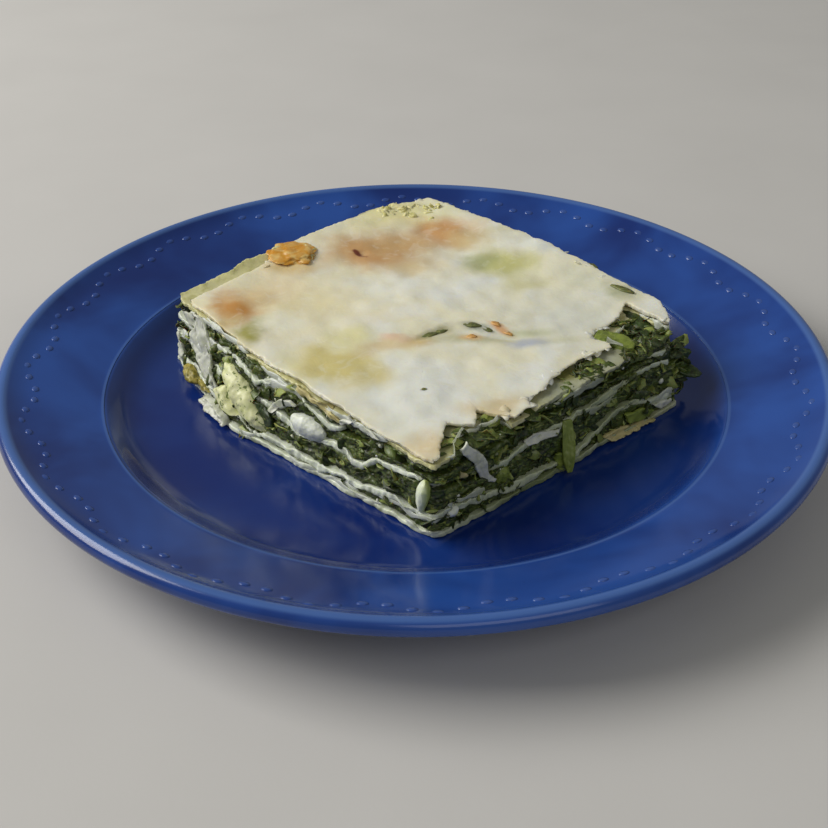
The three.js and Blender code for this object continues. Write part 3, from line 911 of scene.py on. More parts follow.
@dataclass
class Filling(Layer):
    """A layer of chopped spinach: its cut face is a relief of folded leaves.

    The relief sums broad, narrow and fine folds by their weights. The broad ones are leaf_size
    millimetres long, flattened, and bent by noise of a scale and a strength.
    """

    fine: float = 0.62
    rounding: int = 2
    depth: float = 1.3
    leaf_size: float = 4.6
    seed: float = 0.0
    open_fineness: float = 1.25
    upright: Pair = (0.55, 0.9)
    least_upward: Pair = (0.4, 0.5)
    least_showing: float = 0.6
    flatness: float = 1.9
    bend: Pair = (0.6, 0.9)
    crease: float = 2.2
    narrow_scale: float = 2.3
    fine_scale: float = 5.1
    weights: Triple = (0.6, 0.3, 0.16)
    sink: float = 0.25
    cover: BVHTree | None = None
    spots: list[Spot] = field(default_factory=list)

    def build(self, solids: PackedSolids, above: Sequence[str]) -> bpy.types.Mesh:
        """Refines the layer, shapes its visible faces and notes places for leaves.

        Args:
            solids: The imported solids.
            above: The nodes that may cover this layer.

        Returns:
            The layer's mesh.
        """
        bm = solids.copy(self.node)
        side = solids.tree(self.node, steep_only=True)
        self.cover = solids.tree(*above)
        refine(bm, self.fine, self.allowed_open(side))
        relax(bm, self.rounding)
        self.shape(bm)
        self.note_spots(bm)
        return to_mesh(self.piece, bm)

    def open_top(self, co: Vector) -> bool:
        """Whether no other layer covers a point."""
        return self.cover.ray_cast(co + UP * Side.OPEN_GAP, UP, Side.FAR)[0] is None

    def allowed_open(self, side: BVHTree) -> Longest:
        """The longest edge, fine also where the top of the layer lies open."""
        closed = self.allowed(side)

        def longest(co: Vector, normal: Vector) -> float:
            if normal.z > self.least_upward[1] and self.open_top(co):
                return self.fine * self.open_fineness * MM
            return closed(co, normal)

        return longest

    def showing(self, co: Vector, normal: Vector) -> float:
        """How far a point shows, from 0 inside to 1 on a cut face or an open top."""
        if normal.z > self.least_upward[0] and self.open_top(co):
            return 1.0
        return 1 - soft_step(abs(normal.z), *self.upright)

    def fold(self, co: Vector) -> float:
        """The height of the leafy relief, from about -1 to 1."""
        laid = Vector((co.x, co.y, co.z * self.flatness)) / (self.leaf_size * MM)
        laid += Vector((self.seed, -self.seed, 2 * self.seed))
        scale, strength = self.bend
        bend = noise.noise_vector(laid * scale) * strength
        broad = 1 - self.crease * abs(noise.noise(laid + bend))
        narrow = 1 - self.crease * abs(noise.noise(laid * self.narrow_scale - bend))
        fine = noise.noise(laid * self.fine_scale)
        broad_share, narrow_share, fine_share = self.weights
        return broad_share * broad + narrow_share * narrow + fine_share * fine - self.sink

    def shape(self, bm: bmesh.types.BMesh) -> None:
        """Gives the visible faces their relief."""
        moves = []
        for vert in bm.verts:
            shown = self.showing(vert.co, vert.normal)
            move = vert.normal * (self.depth * self.fold(vert.co) * shown * MM)
            move.z += self.wave(vert.co)
            moves.append(move)
        for vert, move in zip(bm.verts, moves):
            vert.co += move
        bm.normal_update()

    def note_spots(self, bm: bmesh.types.BMesh) -> None:
        """Keeps the visible faces as places for leaves."""
        for face in bm.faces:
            middle = face.calc_center_median()
            if self.showing(middle, face.normal) > self.least_showing:
                self.spots.append(Spot(middle, face.normal.copy(), face.calc_area()))


@dataclass
class Crust(PastrySheet):
    """The top crust: a thin brittle sheet with low blisters and a torn, ragged outline."""

    fine: float = 0.5
    top_edge: float = 1.2
    jag: float = 0.7
    stand: float = 0.0
    swell: float = 0.0
    curl: float = 0.25
    rounding: int = 2
    evening: int = 14
    thinned: float = 0.72
    thinned_left: float = 0.15
    thinned_depth: float = 3.0
    top_slope: float = 0.6
    left_turn: Pair = (0.5, 1.0)
    relief_slope: float = 0.3
    relief_waves: tuple[Waves, ...] = (Waves(15, 0.45, 2), Waves(5.5, 0.12, 4), Waves(1.9, 0.02, 6))
    bumps: tuple[Bump, ...] = (
        Bump((-11, 50.5), (17, 8), 0.9, -4),
        Bump((12, 64), (13, 7), 0.5, 10),
        Bump((-19, 50.5), (2.2, 1.8), -0.9),
        Bump((-61, 13), (9, 6), 0.5, 20),
        Bump((-26, -26), (14, 9), -0.5, -35),
        Bump((-5, 18), (16, 9), 0.7, 15),
        Bump((6, -4.6), (7, 1.8), -0.9, 37),
        Bump((24, -5.5), (16, 2.4), -0.9, -6),
        Bump((18, 0.8), (20, 2.2), 0.6, -3),
        Bump((22, -12.5), (17, 2.4), 0.5, 2),
        Bump((33, 40), (14, 6), -0.5, -12),
        Bump((50, 14), (13, 8), 0.5, -30),
        Bump((4, -40), (14, 12), 0.5, 0),
    )

    def allowed(self, side: BVHTree) -> Longest:
        """Finer on top than below, and finest at the torn edge."""
        closed = super().allowed(side)

        def longest(co: Vector, normal: Vector) -> float:
            limit = closed(co, normal)
            return min(limit, self.top_edge * MM) if normal.z > 0 else limit

        return longest

    def build(self, solids: PackedSolids) -> bpy.types.Mesh:
        """Refines the crust, evens its facets and raises its bumps."""
        bm = solids.copy(self.node)
        side = solids.tree(self.node, steep_only=True)
        refine(bm, self.fine, self.allowed(side))
        relax(bm, self.evening, only_height=True)
        relax(bm, self.rounding)
        self.thin_edge(bm, side)
        self.shape(bm, side)
        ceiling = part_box(self.node)[1].z
        for vert in bm.verts:
            if vert.normal.z > self.relief_slope:
                vert.co.z += self.relief(vert.co)
            vert.co.z = min(vert.co.z, ceiling)
        bm.normal_update()
        self.surface = BVHTree.FromBMesh(bm)
        return to_mesh(self.piece, bm)

    def thin_edge(self, bm: bmesh.types.BMesh, side: BVHTree) -> None:
        """Thins the crust towards its torn edges from below, and less so at the left cut face."""
        top = bm.copy()
        others = [face for face in top.faces if face.normal.z < self.top_slope]
        bmesh.ops.delete(top, geom=others, context="FACES")
        above = BVHTree.FromBMesh(top)
        top.free()
        for vert in bm.verts:
            _, outward, _, distance = side.find_nearest(vert.co)
            left = soft_step(-(outward.x + outward.y), *self.left_turn)
            share = self.thinned * (1 - left) + self.thinned_left * left
            depth = max(0.0, above.find_nearest(vert.co)[0].z - vert.co.z)
            vert.co.z += depth * share * math.exp(-distance / (self.thinned_depth * MM))
        bm.normal_update()

    def relief(self, co: Vector) -> float:
        """The height of bumps and fine unevenness, in metres."""
        unevenness = sum(waves.at_place(co) for waves in self.relief_waves)
        return unevenness * MM + sum(bump.at_place(co) for bump in self.bumps)


@dataclass
class Plate:
    """The turned plate, its section in millimetres, and the row of glaze beads on its rim."""

    radius: float = 134.96
    roll: float = 2.68
    roll_height: float = 22.6
    steps: int = 256
    bead_count: int = 120
    bead_radius: float = 1.5
    bead_rise: float = 0.38
    bead_stretch: Pair = (0.8, 1.15)
    bead_circle: float = 124.5
    scallops: int = 24
    scallop_depth: float = 2.3
    scallop_turn: float = 2.5
    rim_start: Pair = (101.7, 14.7)
    rim_end: Pair = (126.0, 22.2)
    lip_turn: Pair = (-62.0, 174.0)
    lip_steps: int = 18
    corner_steps: int = 6
    # The beads' lighter blues: thin glaze over them, and a painted highlight.
    bead_deep: Colour = srgb(40, 68, 136)
    bead_light: Colour = srgb(58, 88, 156)
    # Radius, height and rounding of each corner, from under the middle round the lip to its top.
    corners: tuple[Triple, ...] = (
        (77.0, 2.6, 1.5),
        (79.0, 0.0, 0.6),
        (85.2, 0.0, 0.8),
        (102.5, 9.0, 8.0),
        (127.0, 18.4, 5.0),
    )
    inner_corners: tuple[Triple, ...] = (
        (127.6, 22.7, 3.5),
        (102.8, 15.1, 1.2),
        (101.2, 14.9, 0.8),
        (94.6, 8.9, 4.5),
        (84.0, 7.0, 6.0),
    )

    def section(self) -> list[Pair]:
        """The section's points, from the axis below to the axis above."""
        centre = (self.radius - self.roll, self.roll_height)
        lip = []
        start, turn = self.lip_turn
        for step in range(self.lip_steps + 1):
            angle = math.radians(start + turn * step / self.lip_steps)
            lip.append((centre[0] + self.roll * math.cos(angle), centre[1] + self.roll * math.sin(angle)))
        below = [(0.0, self.corners[0][1], 0.0), *self.corners, (*lip[0], 0.0)]
        above = [(*lip[-1], 0.0), *self.inner_corners, (0.0, self.inner_corners[-1][1], 0.0)]
        return [*self.rounded(below)[:-1], *lip, *self.rounded(above)[1:]]

    def rounded(self, corners: Sequence[Triple]) -> list[Pair]:
        """Rounds the inner corners of a line with short curves."""
        points = [corners[0][:2]]
        for before, corner, after in zip(corners, corners[1:], corners[2:]):
            here = Vector(corner[:2])
            start = here + (Vector(before[:2]) - here).normalized() * corner[2]
            end = here + (Vector(after[:2]) - here).normalized() * corner[2]
            for step in range(self.corner_steps + 1):
                t = step / self.corner_steps
                point = start * (1 - t) ** 2 + here * 2 * t * (1 - t) + end * t * t
                points.append((point.x, point.y))
        points.append(corners[-1][:2])
        return points

    def body(self) -> bpy.types.Mesh:
        """Turns the section round the axis."""
        bm = bmesh.new()
        verts = [bm.verts.new(mm(r, 0, z)) for r, z in self.section()]
        edges = [bm.edges.new(pair) for pair in zip(verts, verts[1:])]
        bmesh.ops.spin(
            bm,
            geom=[*verts, *edges],
            axis=UP,
            cent=(0, 0, 0),
            angle=math.tau,
            steps=self.steps,
            use_merge=True,
        )
        bmesh.ops.remove_doubles(bm, verts=bm.verts, dist=MERGE_DISTANCE)
        bmesh.ops.recalc_face_normals(bm, faces=bm.faces)
        return to_mesh("glazed_plate", bm)

    def beads(self) -> bpy.types.Mesh:
        """Low domes on the rim that follow a scalloped line."""
        bm = bmesh.new()
        (r0, z0), (r1, z1) = self.rim_start, self.rim_end
        tilt = math.atan2(z1 - z0, r1 - r0)
        for index in range(self.bead_count):
            angle = math.radians(self.scallop_turn + 360 * index / self.bead_count)
            wave = math.cos(self.scallops * (angle - math.radians(self.scallop_turn)))
            radius = self.bead_circle + self.scallop_depth * wave
            height = z0 + (radius - r0) * math.tan(tilt)
            place = Matrix.Rotation(angle, 4, "Z") @ Matrix.Translation(mm(radius, 0, height))
            place @= Matrix.Rotation(-tilt, 4, "Y")
            place @= Matrix.Diagonal((*self.bead_stretch, self.bead_rise / self.bead_radius, 1))
            bmesh.ops.create_icosphere(bm, subdivisions=2, radius=self.bead_radius * MM, matrix=place)
        return to_mesh("rim_beads", bm)

    def build(self) -> None:
        """Adds the plate in its glaze, and the beads in a lighter glaze that is thin over them and carries a
        painted highlight.
        """
        glaze = GlazeFinish().material()
        bead_glaze_and_highlight = GlazeFinish("bead_glaze_and_highlight", self.bead_deep, self.bead_light).material()
        add_piece("glazed_plate", self.body(), glaze, ["plate"])
        add_piece("rim_beads", self.beads(), bead_glaze_and_highlight)


@dataclass
class Morsel:
    """A lump, strip or leaf in the cut faces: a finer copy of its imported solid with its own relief."""

    node: str
    piece: str
    slot: Slot
    fine: float = 0.5
    depth: float = 0.3
    size: float = 2.5
    stretch: Triple = (1, 1, 1)
    smooth: int = 3
    drift: float = 0.0
    drift_size: float = 5.0
    fine_share: float = 0.4
    fine_ratio: float = 2.6

    def build(self, solids: PackedSolids, material: bpy.types.Material) -> None:
        """Refines, rounds, bends and roughens the piece."""
        bm = solids.copy(self.node)
        refine(bm, self.fine)
        relax(bm, self.smooth)
        for vert in bm.verts:
            place = Vector(a * b for a, b in zip(vert.co, self.stretch))
            height = grain(place, self.size) + self.fine_share * grain(place, self.size / self.fine_ratio)
            bend = noise.noise_vector(vert.co / (self.drift_size * MM)) * (self.drift * MM)
            vert.co += vert.normal * (height * self.depth * MM) + bend
        add_piece(self.piece, to_mesh(self.piece, bm), material, [self.node])


@dataclass(frozen=True)
class Shape:
    """A small closed shape to be copied many times."""

    points: tuple[Vector, ...]
    faces: tuple[tuple[int, ...], ...]

    @classmethod
    def of(cls, bm: bmesh.types.BMesh) -> Shape:
        """Takes the shape of a bmesh and frees it."""
        bm.verts.index_update()
        points = tuple(vert.co.copy() for vert in bm.verts)
        faces = tuple(tuple(vert.index for vert in face.verts) for face in bm.faces)
        bm.free()
        return cls(points, faces)


class LeafForm:
    """How a scrap of leaf narrows to its ends, frays, ripples, cups across and arches along."""

    CUTS = (5, 2)
    FRAY = 0.35
    FRAY_SCALE = 5
    TIP = 0.22
    NARROWING = 2.1
    NARROWING_POWER = 2.4
    RIPPLE_SCALES = (3.1, 2.3)
    CUP = 1.6
    ARCH = 1.2


def leaf_shape(length: float, width: float, thick: float, curl: float, seed: float) -> Shape:
    """A crumpled scrap of leaf.

    Args:
        length: Its length along X, in millimetres.
        width: Its width along Y.
        thick: Its thickness.
        curl: How far it bends and ripples.
        seed: A shift of the noise.

    Returns:
        The closed scrap about its own middle.
    """
    bm = bmesh.new()
    form = LeafForm
    bmesh.ops.create_grid(bm, x_segments=form.CUTS[0], y_segments=form.CUTS[1], size=0.5)
    for vert in bm.verts:
        along, across = vert.co.x, vert.co.y
        frayed = Vector((along * form.FRAY_SCALE, across * form.FRAY_SCALE, seed))
        ragged = 1 + form.FRAY * noise.noise(frayed)
        narrow = max(form.TIP, 1 - (form.NARROWING * abs(along)) ** form.NARROWING_POWER) * ragged
        long_scale, cross_scale = form.RIPPLE_SCALES
        ripple = noise.noise(Vector((along * long_scale + seed, across * cross_scale, seed)))
        bend = curl * (ripple + form.CUP * across * across - form.ARCH * along * along)
        vert.co = mm(along * length, across * width * narrow, bend)
    bmesh.ops.solidify(bm, geom=bm.faces[:], thickness=thick * MM)
    bmesh.ops.recalc_face_normals(bm, faces=bm.faces)
    return Shape.of(bm)


def crumb_shape(size: float, seed: float, stretch: Triple, roughness: float = 0.45) -> Shape:
    """A rough crumb of about size millimetres across."""
    bm = bmesh.new()
    bmesh.ops.create_icosphere(bm, subdivisions=1, radius=size / 2 * MM)
    for vert in bm.verts:
        rough = 1 + roughness * grain(vert.co, size, seed)
        vert.co = Vector(a * b * rough for a, b in zip(vert.co, stretch))
    return Shape.of(bm)


@dataclass
class Scatter:
    """Many copies of a few small shapes in one joined mesh, with a shade for each copy."""

    points: list[Vector] = field(default_factory=list)
    faces: list[tuple[int, ...]] = field(default_factory=list)
    shades: list[float] = field(default_factory=list)

    def put(self, shape: Shape, place: Matrix, shade: float) -> None:
        """Adds one copy of a shape."""
        first = len(self.points)
        self.points.extend(place @ point for point in shape.points)
        self.faces.extend(tuple(first + i for i in face) for face in shape.faces)
        self.shades.extend([shade] * len(shape.points))

    def mesh(self, name: str) -> bpy.types.Mesh:
        """The joined mesh."""
        mesh = bpy.data.meshes.new(name)
        mesh.from_pydata(self.points, [], self.faces)
        layer = mesh.attributes.new("shade", "FLOAT", "POINT")
        layer.data.foreach_set("value", self.shades)
        return mesh


def lying(spot: Spot, turn: float, tilt: float, out: float, scale: float) -> Matrix:
    """The place of a small thing that lies on a face.

    Args:
        spot: The place on the face.
        turn: Its turn in the face, in degrees, with 0 level.
        tilt: How far it tips up from the face, in degrees.
        out: How far it stands out, in millimetres.
        scale: Its size.

    Returns:
        The matrix for the thing.
    """
    normal = spot.normal.normalized()
    level = UP.cross(normal)
    level = level.normalized() if level.length > NEARLY_LEVEL else Vector((1, 0, 0))
    rise = normal.cross(level).normalized()
    axes = Matrix((level, rise, normal)).transposed().to_4x4()
    spin = Matrix.Rotation(math.radians(turn), 4, "Z") @ Matrix.Rotation(math.radians(tilt), 4, "X")
    centre = Matrix.Translation(spot.at + normal * (out * MM))
    return centre @ axes @ spin @ Matrix.Scale(scale, 4)


@dataclass(frozen=True)
class ScrapForms:
    """Ranges from which a few forms of one kind of scrap are drawn, in millimetres."""

    count: int
    lengths: Pair
    widths: Pair
    thick: float
    curls: Pair
    first_seed: float = 0.0
    seed_step: float = 1.0

    def drawn(self, draw: random.Random) -> list[Shape]:
        """The forms."""
        return [
            leaf_shape(
                draw.uniform(*self.lengths),
                draw.uniform(*self.widths),
                self.thick,
                draw.uniform(*self.curls),
                self.first_seed + self.seed_step * index,
            )
            for index in range(self.count)
        ]


@dataclass(frozen=True)
class Strewing:
    """How small things lie on a face: their spread of tilt, how far they stand out, and their scales."""

    tilt: float
    outs: Pair
    scales: Pair

    def strewn(
        self,
        draw: random.Random,
        shapes: Sequence[Shape],
        spots: Iterable[Spot],
        drawn_turn: Callable[[], float],
    ) -> Scatter:
        """Lays one of the shapes at each spot.

        Args:
            draw: The source of random numbers.
            shapes: The shapes to choose from.
            spots: The places.
            drawn_turn: Draws one shape's turn in the face, in degrees.

        Returns:
            The scattered shapes.
        """
        scatter = Scatter()
        for spot in spots:
            turn = drawn_turn()
            tilt = draw.gauss(0, self.tilt)
            place = lying(spot, turn, tilt, draw.uniform(*self.outs), draw.uniform(*self.scales))
            scatter.put(draw.choice(shapes), place, draw.random())
        return scatter


@dataclass
class Greens:
    """The scattered leaf scraps, stem bits and white crumbs on the filling's visible faces.

    Lengths are in millimetres and turns in degrees. A hanging leaf is one of those that don't lie
    level. The leaves at the corner are drawn round it and look outwards.
    """

    leaf_count: int = 620
    leaf_forms: ScrapForms = ScrapForms(10, (4.0, 8.5), (2.0, 4.0), 0.3, (0.6, 1.5), 0.0, 3.7)
    leaf_strewing: Strewing = Strewing(34, (-0.35, 0.35), (0.6, 1.15))
    level_share: float = 0.8
    level_turn: float = 24.0
    hanging_turns: Pair = (50.0, 130.0)
    torn_count: int = 55
    corner_count: int = 34
    corner: Pair = (86.0, -2.5)
    corner_reach: Pair = (-3.5, 2.5)
    corner_spread: float = 1.8
    corner_heights: Pair = (13.0, 29.5)
    corner_aside: Pair = (0.1, 0.8)
    corner_front: float = -0.7
    corner_up: Pair = (0.0, 0.6)
    bit_count: int = 150
    bit_forms: ScrapForms = ScrapForms(6, (2.2, 4.6), (0.7, 1.3), 0.6, (0.2, 0.7), 50)
    bit_strewing: Strewing = Strewing(20, (-0.1, 0.4), (0.7, 1.2))
    bit_turn: float = 35.0
    crumb_count: int = 75
    crumb_forms: int = 6
    crumb_sizes: Pair = (0.7, 1.4)
    crumb_stretch: Triple = (1.4, 1.0, 0.7)
    crumb_seed_step: float = 2.3
    crumb_strewing: Strewing = Strewing(30, (-0.2, 0.3), (0.6, 1.3))
    half_turn: float = 180.0
    seed: int = 41

    def build(self, spots: Sequence[Spot], torn_spots: Sequence[Spot]) -> None:
        """Scatters the three kinds.

        Args:
            spots: Places on the filling.
            torn_spots: Places on the pastry that the torn crust leaves open.
        """
        draw = random.Random(self.seed)
        weights = [spot.area for spot in spots]
        torn = draw.choices(torn_spots, [spot.area for spot in torn_spots], k=self.torn_count)
        self.leaves(draw, [*draw.choices(spots, weights, k=self.leaf_count), *torn, *self.tuft(draw)])
        self.bits(draw, draw.choices(spots, weights, k=self.bit_count))
        self.crumbs(draw, draw.choices(spots, weights, k=self.crumb_count))

    def tuft(self, draw: random.Random) -> list[Spot]:
        """Places for the leaves that hang out at the slice's right corner."""
        x, y = self.corner
        spots = []
        for _ in range(self.corner_count):
            out = draw.uniform(*self.corner_reach)
            along = draw.gauss(0, self.corner_spread)
            at = mm(x + out, y + along, draw.uniform(*self.corner_heights))
            aside, up = draw.uniform(*self.corner_aside), draw.uniform(*self.corner_up)
            outward = Vector((aside, self.corner_front, up))
            spots.append(Spot(at, outward, 1.0))
        return spots

    def leaves(self, draw: random.Random, spots: Iterable[Spot]) -> None:
        """Crumpled scraps of leaf, most of them level, some hanging down."""

        def turn() -> float:
            if draw.random() < self.level_share:
                return draw.gauss(0, self.level_turn)
            return draw.uniform(*self.hanging_turns)

        shapes = self.leaf_forms.drawn(draw)
        scatter = self.leaf_strewing.strewn(draw, shapes, spots, turn)
        finish = SpinachFinish(
            "leaf_scraps", srgb(36, 48, 18), srgb(86, 102, 38), srgb(158, 170, 88), shaded=True
        )
        add_piece("leaf_scraps", scatter.mesh("leaf_scraps"), finish.material())

    def bits(self, draw: random.Random, spots: Iterable[Spot]) -> None:
        """Short pale bits of stem."""
        shapes = self.bit_forms.drawn(draw)
        scatter = self.bit_strewing.strewn(draw, shapes, spots, partial(draw.gauss, 0, self.bit_turn))
        finish = SpinachFinish(
            "stem_bits", srgb(84, 98, 36), srgb(128, 140, 62), srgb(176, 184, 112), shaded=True
        )
        add_piece("stem_bits", scatter.mesh("stem_bits"), finish.material())

    def crumbs(self, draw: random.Random, spots: Iterable[Spot]) -> None:
        """Crumbs of white cheese in the filling."""
        shapes = [
            crumb_shape(draw.uniform(*self.crumb_sizes), index * self.crumb_seed_step, self.crumb_stretch)
            for index in range(self.crumb_forms)
        ]
        any_turn = partial(draw.uniform, 0, self.half_turn)
        scatter = self.crumb_strewing.strewn(draw, shapes, spots, any_turn)
        finish = MoistFinish("cheese_crumbs", srgb(214, 216, 196), srgb(180, 186, 140), 2.0)
        add_piece("cheese_crumbs", scatter.mesh("cheese_crumbs"), finish.material())


class Scrap(Enum):
    """The kinds of scrap that lie on the cut faces, by their joined piece and its slot."""

    PASTRY = ("pastry_scraps", Slot.PASTRY)
    TAN = ("tanned_scraps", Slot.OILED_PASTRY)
    EGG = ("egg_scraps", Slot.EGG)
    LEAF = ("dark_leaf_scraps", Slot.LEAF)
    GREEN = ("pale_green_scraps", Slot.STEM)
    GOLDEN = ("golden_scraps", Slot.BROWNED_PASTRY)


class CutFace(Enum):
    """The slice's cut faces, each by the plan places of its two ends, in millimetres."""

    CORNER = ((-82.0, 24.0), (-54.2, -19.5))
    FRONT_LEFT = ((-54.2, -19.5), (4.8, -77.0))
    FRONT_RIGHT = ((4.8, -77.0), (85.0, -3.0))

    def along(self) -> Vector:
        """The level direction from the face's left end to its right end."""
        start, end = self.value
        return (mm(*end) - mm(*start)).normalized()

    def outward(self) -> Vector:
        """The level direction in which the face looks."""
        return self.along().cross(UP)

    def place(self, along: float, height: float) -> Vector:
        """A point on the face's upright plane, from millimetres along it and above the floor."""
        return mm(*self.value[0]) + self.along() * (along * MM) + UP * (height * MM)


@dataclass(frozen=True)
class Chip:
    """A scrap on a cut face. Its outline gives millimetres along the face and above the floor.

    It is thick millimetres thick, stands out from the face, drifts with soft noise and is rough.
    """

    EDGE = 0.75
    DRIFT = 0.45
    DRIFT_SIZE = 2.5
    ROUGH_SIZE = 2.2
    SEARCH = 10 * MM

    kind: Scrap
    face: CutFace
    outline: tuple[Pair, ...]
    thick: float = 0.8
    out: float = 0.3
    rough: float = 0.3

    def shape(self, surface: BVHTree) -> Shape:
        """The closed scrap, laid on the slice's surface."""
        bm = bmesh.new()
        rim = [bm.verts.new(self.face.place(*point)) for point in self.outline]
        bmesh.ops.triangulate(bm, faces=[bm.faces.new(rim)])
        bm.normal_update()
        refine(bm, self.EDGE)
        relax(bm, 2)
        outward = self.face.outward()
        for vert in bm.verts:
            drift = noise.noise_vector(vert.co / (self.DRIFT_SIZE * MM)) * (self.DRIFT * MM)
            vert.co = self.laid(surface, vert.co) + outward * (self.out * MM) + drift
        relax(bm, 3)
        grown = bmesh.ops.extrude_face_region(bm, geom=bm.faces[:], use_keep_orig=True)
        front = [part for part in grown["geom"] if isinstance(part, bmesh.types.BMVert)]
        bmesh.ops.translate(bm, verts=front, vec=outward * (self.thick * MM))
        bmesh.ops.recalc_face_normals(bm, faces=bm.faces)
        relax(bm, 2)
        for vert in bm.verts:
            lumps = grain(vert.co, self.ROUGH_SIZE, len(self.outline))
            vert.co += vert.normal * (self.rough * lumps * MM)
        return Shape.of(bm)

    def laid(self, surface: BVHTree, co: Vector) -> Vector:
        """The place on the slice's surface behind a point of the face's plane."""
        outward = self.face.outward()
        hit = surface.ray_cast(co + outward * self.SEARCH, -outward, 2 * self.SEARCH)[0]
        return hit or surface.find_nearest(co)[0]


@dataclass(frozen=True)
class Chips:
    """The larger scraps in the cut faces, one by one."""

    scraps: tuple[Chip, ...] = (
        Chip(
            Scrap.EGG,
            CutFace.FRONT_LEFT,
            (
                *((-15, 16.5), (-9, 20.5), (-1, 21.5), (5.5, 19)),
                *((12, 13.5), (7.5, 12), (0, 12.5), (-9.5, 12.5)),
            ),
            3.0,
            0.8,
            0.3,
        ),
        Chip(
            Scrap.LEAF,
            CutFace.FRONT_LEFT,
            ((5, 21.5), (9, 21.5), (15, 19.5), (14.5, 14.5), (11.5, 14)),
            1.0,
            0.8,
        ),
        Chip(
            Scrap.PASTRY,
            CutFace.FRONT_LEFT,
            (
                *((11.5, 20), (14, 23.5), (18, 27.5), (23, 28.5)),
                *((26, 27.5), (22, 25.4), (17.5, 22.8), (15, 20)),
            ),
            1.2,
            0.9,
        ),
        Chip(
            Scrap.PASTRY,
            CutFace.CORNER,
            (
                *((6.5, 29.5), (14.5, 33), (21, 31.5), (24, 26), (29, 21.5)),
                *((37, 15.5), (33.5, 12.5), (25, 14.5), (17.5, 18), (11, 23.5)),
            ),
            0.9,
            0.9,
        ),
        Chip(
            Scrap.PASTRY,
            CutFace.CORNER,
            ((28, 9.5), (39, 11), (45.5, 11), (49, 8.2), (38, 7.7), (28, 7.9)),
            2.6,
            0.9,
            0.6,
        ),
        Chip(
            Scrap.GOLDEN,
            CutFace.CORNER,
            ((8.5, 8), (9, 10.5), (17, 12.5), (25.5, 13), (32.5, 11.5), (26.5, 9), (16, 7.8)),
            1.6,
            0.6,
            0.8,
        ),
        Chip(
            Scrap.PASTRY,
            CutFace.CORNER,
            ((1.5, 20.5), (3.5, 20.5), (7.5, 14), (6.5, 9), (2, 9.5)),
            1.2,
            0.6,
        ),
        Chip(
            Scrap.TAN,
            CutFace.FRONT_LEFT,
            ((22.5, 33.5), (33.5, 32.5), (45.5, 29.5), (43, 28), (32.5, 29.5), (22.5, 31.5)),
            0.9,
            0.8,
        ),
        Chip(
            Scrap.PASTRY,
            CutFace.FRONT_LEFT,
            ((42, 29), (46.5, 33), (51, 32.5), (48, 30), (44, 28)),
            0.7,
            0.9,
        ),
        Chip(Scrap.PASTRY, CutFace.FRONT_LEFT, ((54, 33), (58.5, 33.5), (62.5, 32), (58.5, 30.8)), 0.7, 0.9),
        Chip(Scrap.TAN, CutFace.FRONT_RIGHT, ((9.5, 27), (13.5, 24.5), (14.5, 21), (10, 22.5)), 0.8, 0.5),
        Chip(
            Scrap.PASTRY,
            CutFace.FRONT_RIGHT,
            ((36, 24.4), (41, 25.2), (46, 24.2), (53, 22.6), (50, 20.9), (43, 21.6), (37, 22.4)),
            0.8,
            0.7,
        ),
        Chip(
            Scrap.TAN,
            CutFace.FRONT_RIGHT,
            ((71.5, 10.5), (78.5, 11.5), (90, 10), (96, 8), (88, 7.8), (79.5, 8.3), (73.5, 8.3)),
            1.2,
            0.5,
            0.6,
        ),
        Chip(
            Scrap.GREEN,
            CutFace.FRONT_RIGHT,
            ((81, 15), (89, 15), (96, 11), (90.5, 9.5), (82.5, 11)),
            1.2,
            0.7,
            0.6,
        ),
        Chip(
            Scrap.GREEN,
            CutFace.FRONT_RIGHT,
            ((49, 15), (53, 14.5), (53.5, 8.5), (51.5, 8), (49.5, 9)),
            1.2,
            0.8,
        ),
        Chip(
            Scrap.PASTRY,
            CutFace.FRONT_RIGHT,
            ((94.5, 13), (101.5, 12.5), (105, 12), (105, 9.5), (100, 9)),
            1.0,
            0.4,
            0.5,
        ),
    )

    def build(self, solids: PackedSolids, finishes: dict[Slot, bpy.types.Material]) -> None:
        """Adds one joined piece for each kind of scrap."""
        surface = solids.tree(*FOOD_LAYERS)
        for kind in Scrap:
            name, slot = kind.value
            scatter = Scatter()
            for chip in self.scraps:
                if chip.kind is kind:
                    scatter.put(chip.shape(surface), Matrix.Identity(4), MIDDLE_SHADE)
            add_piece(name, scatter.mesh(name), finishes[slot])


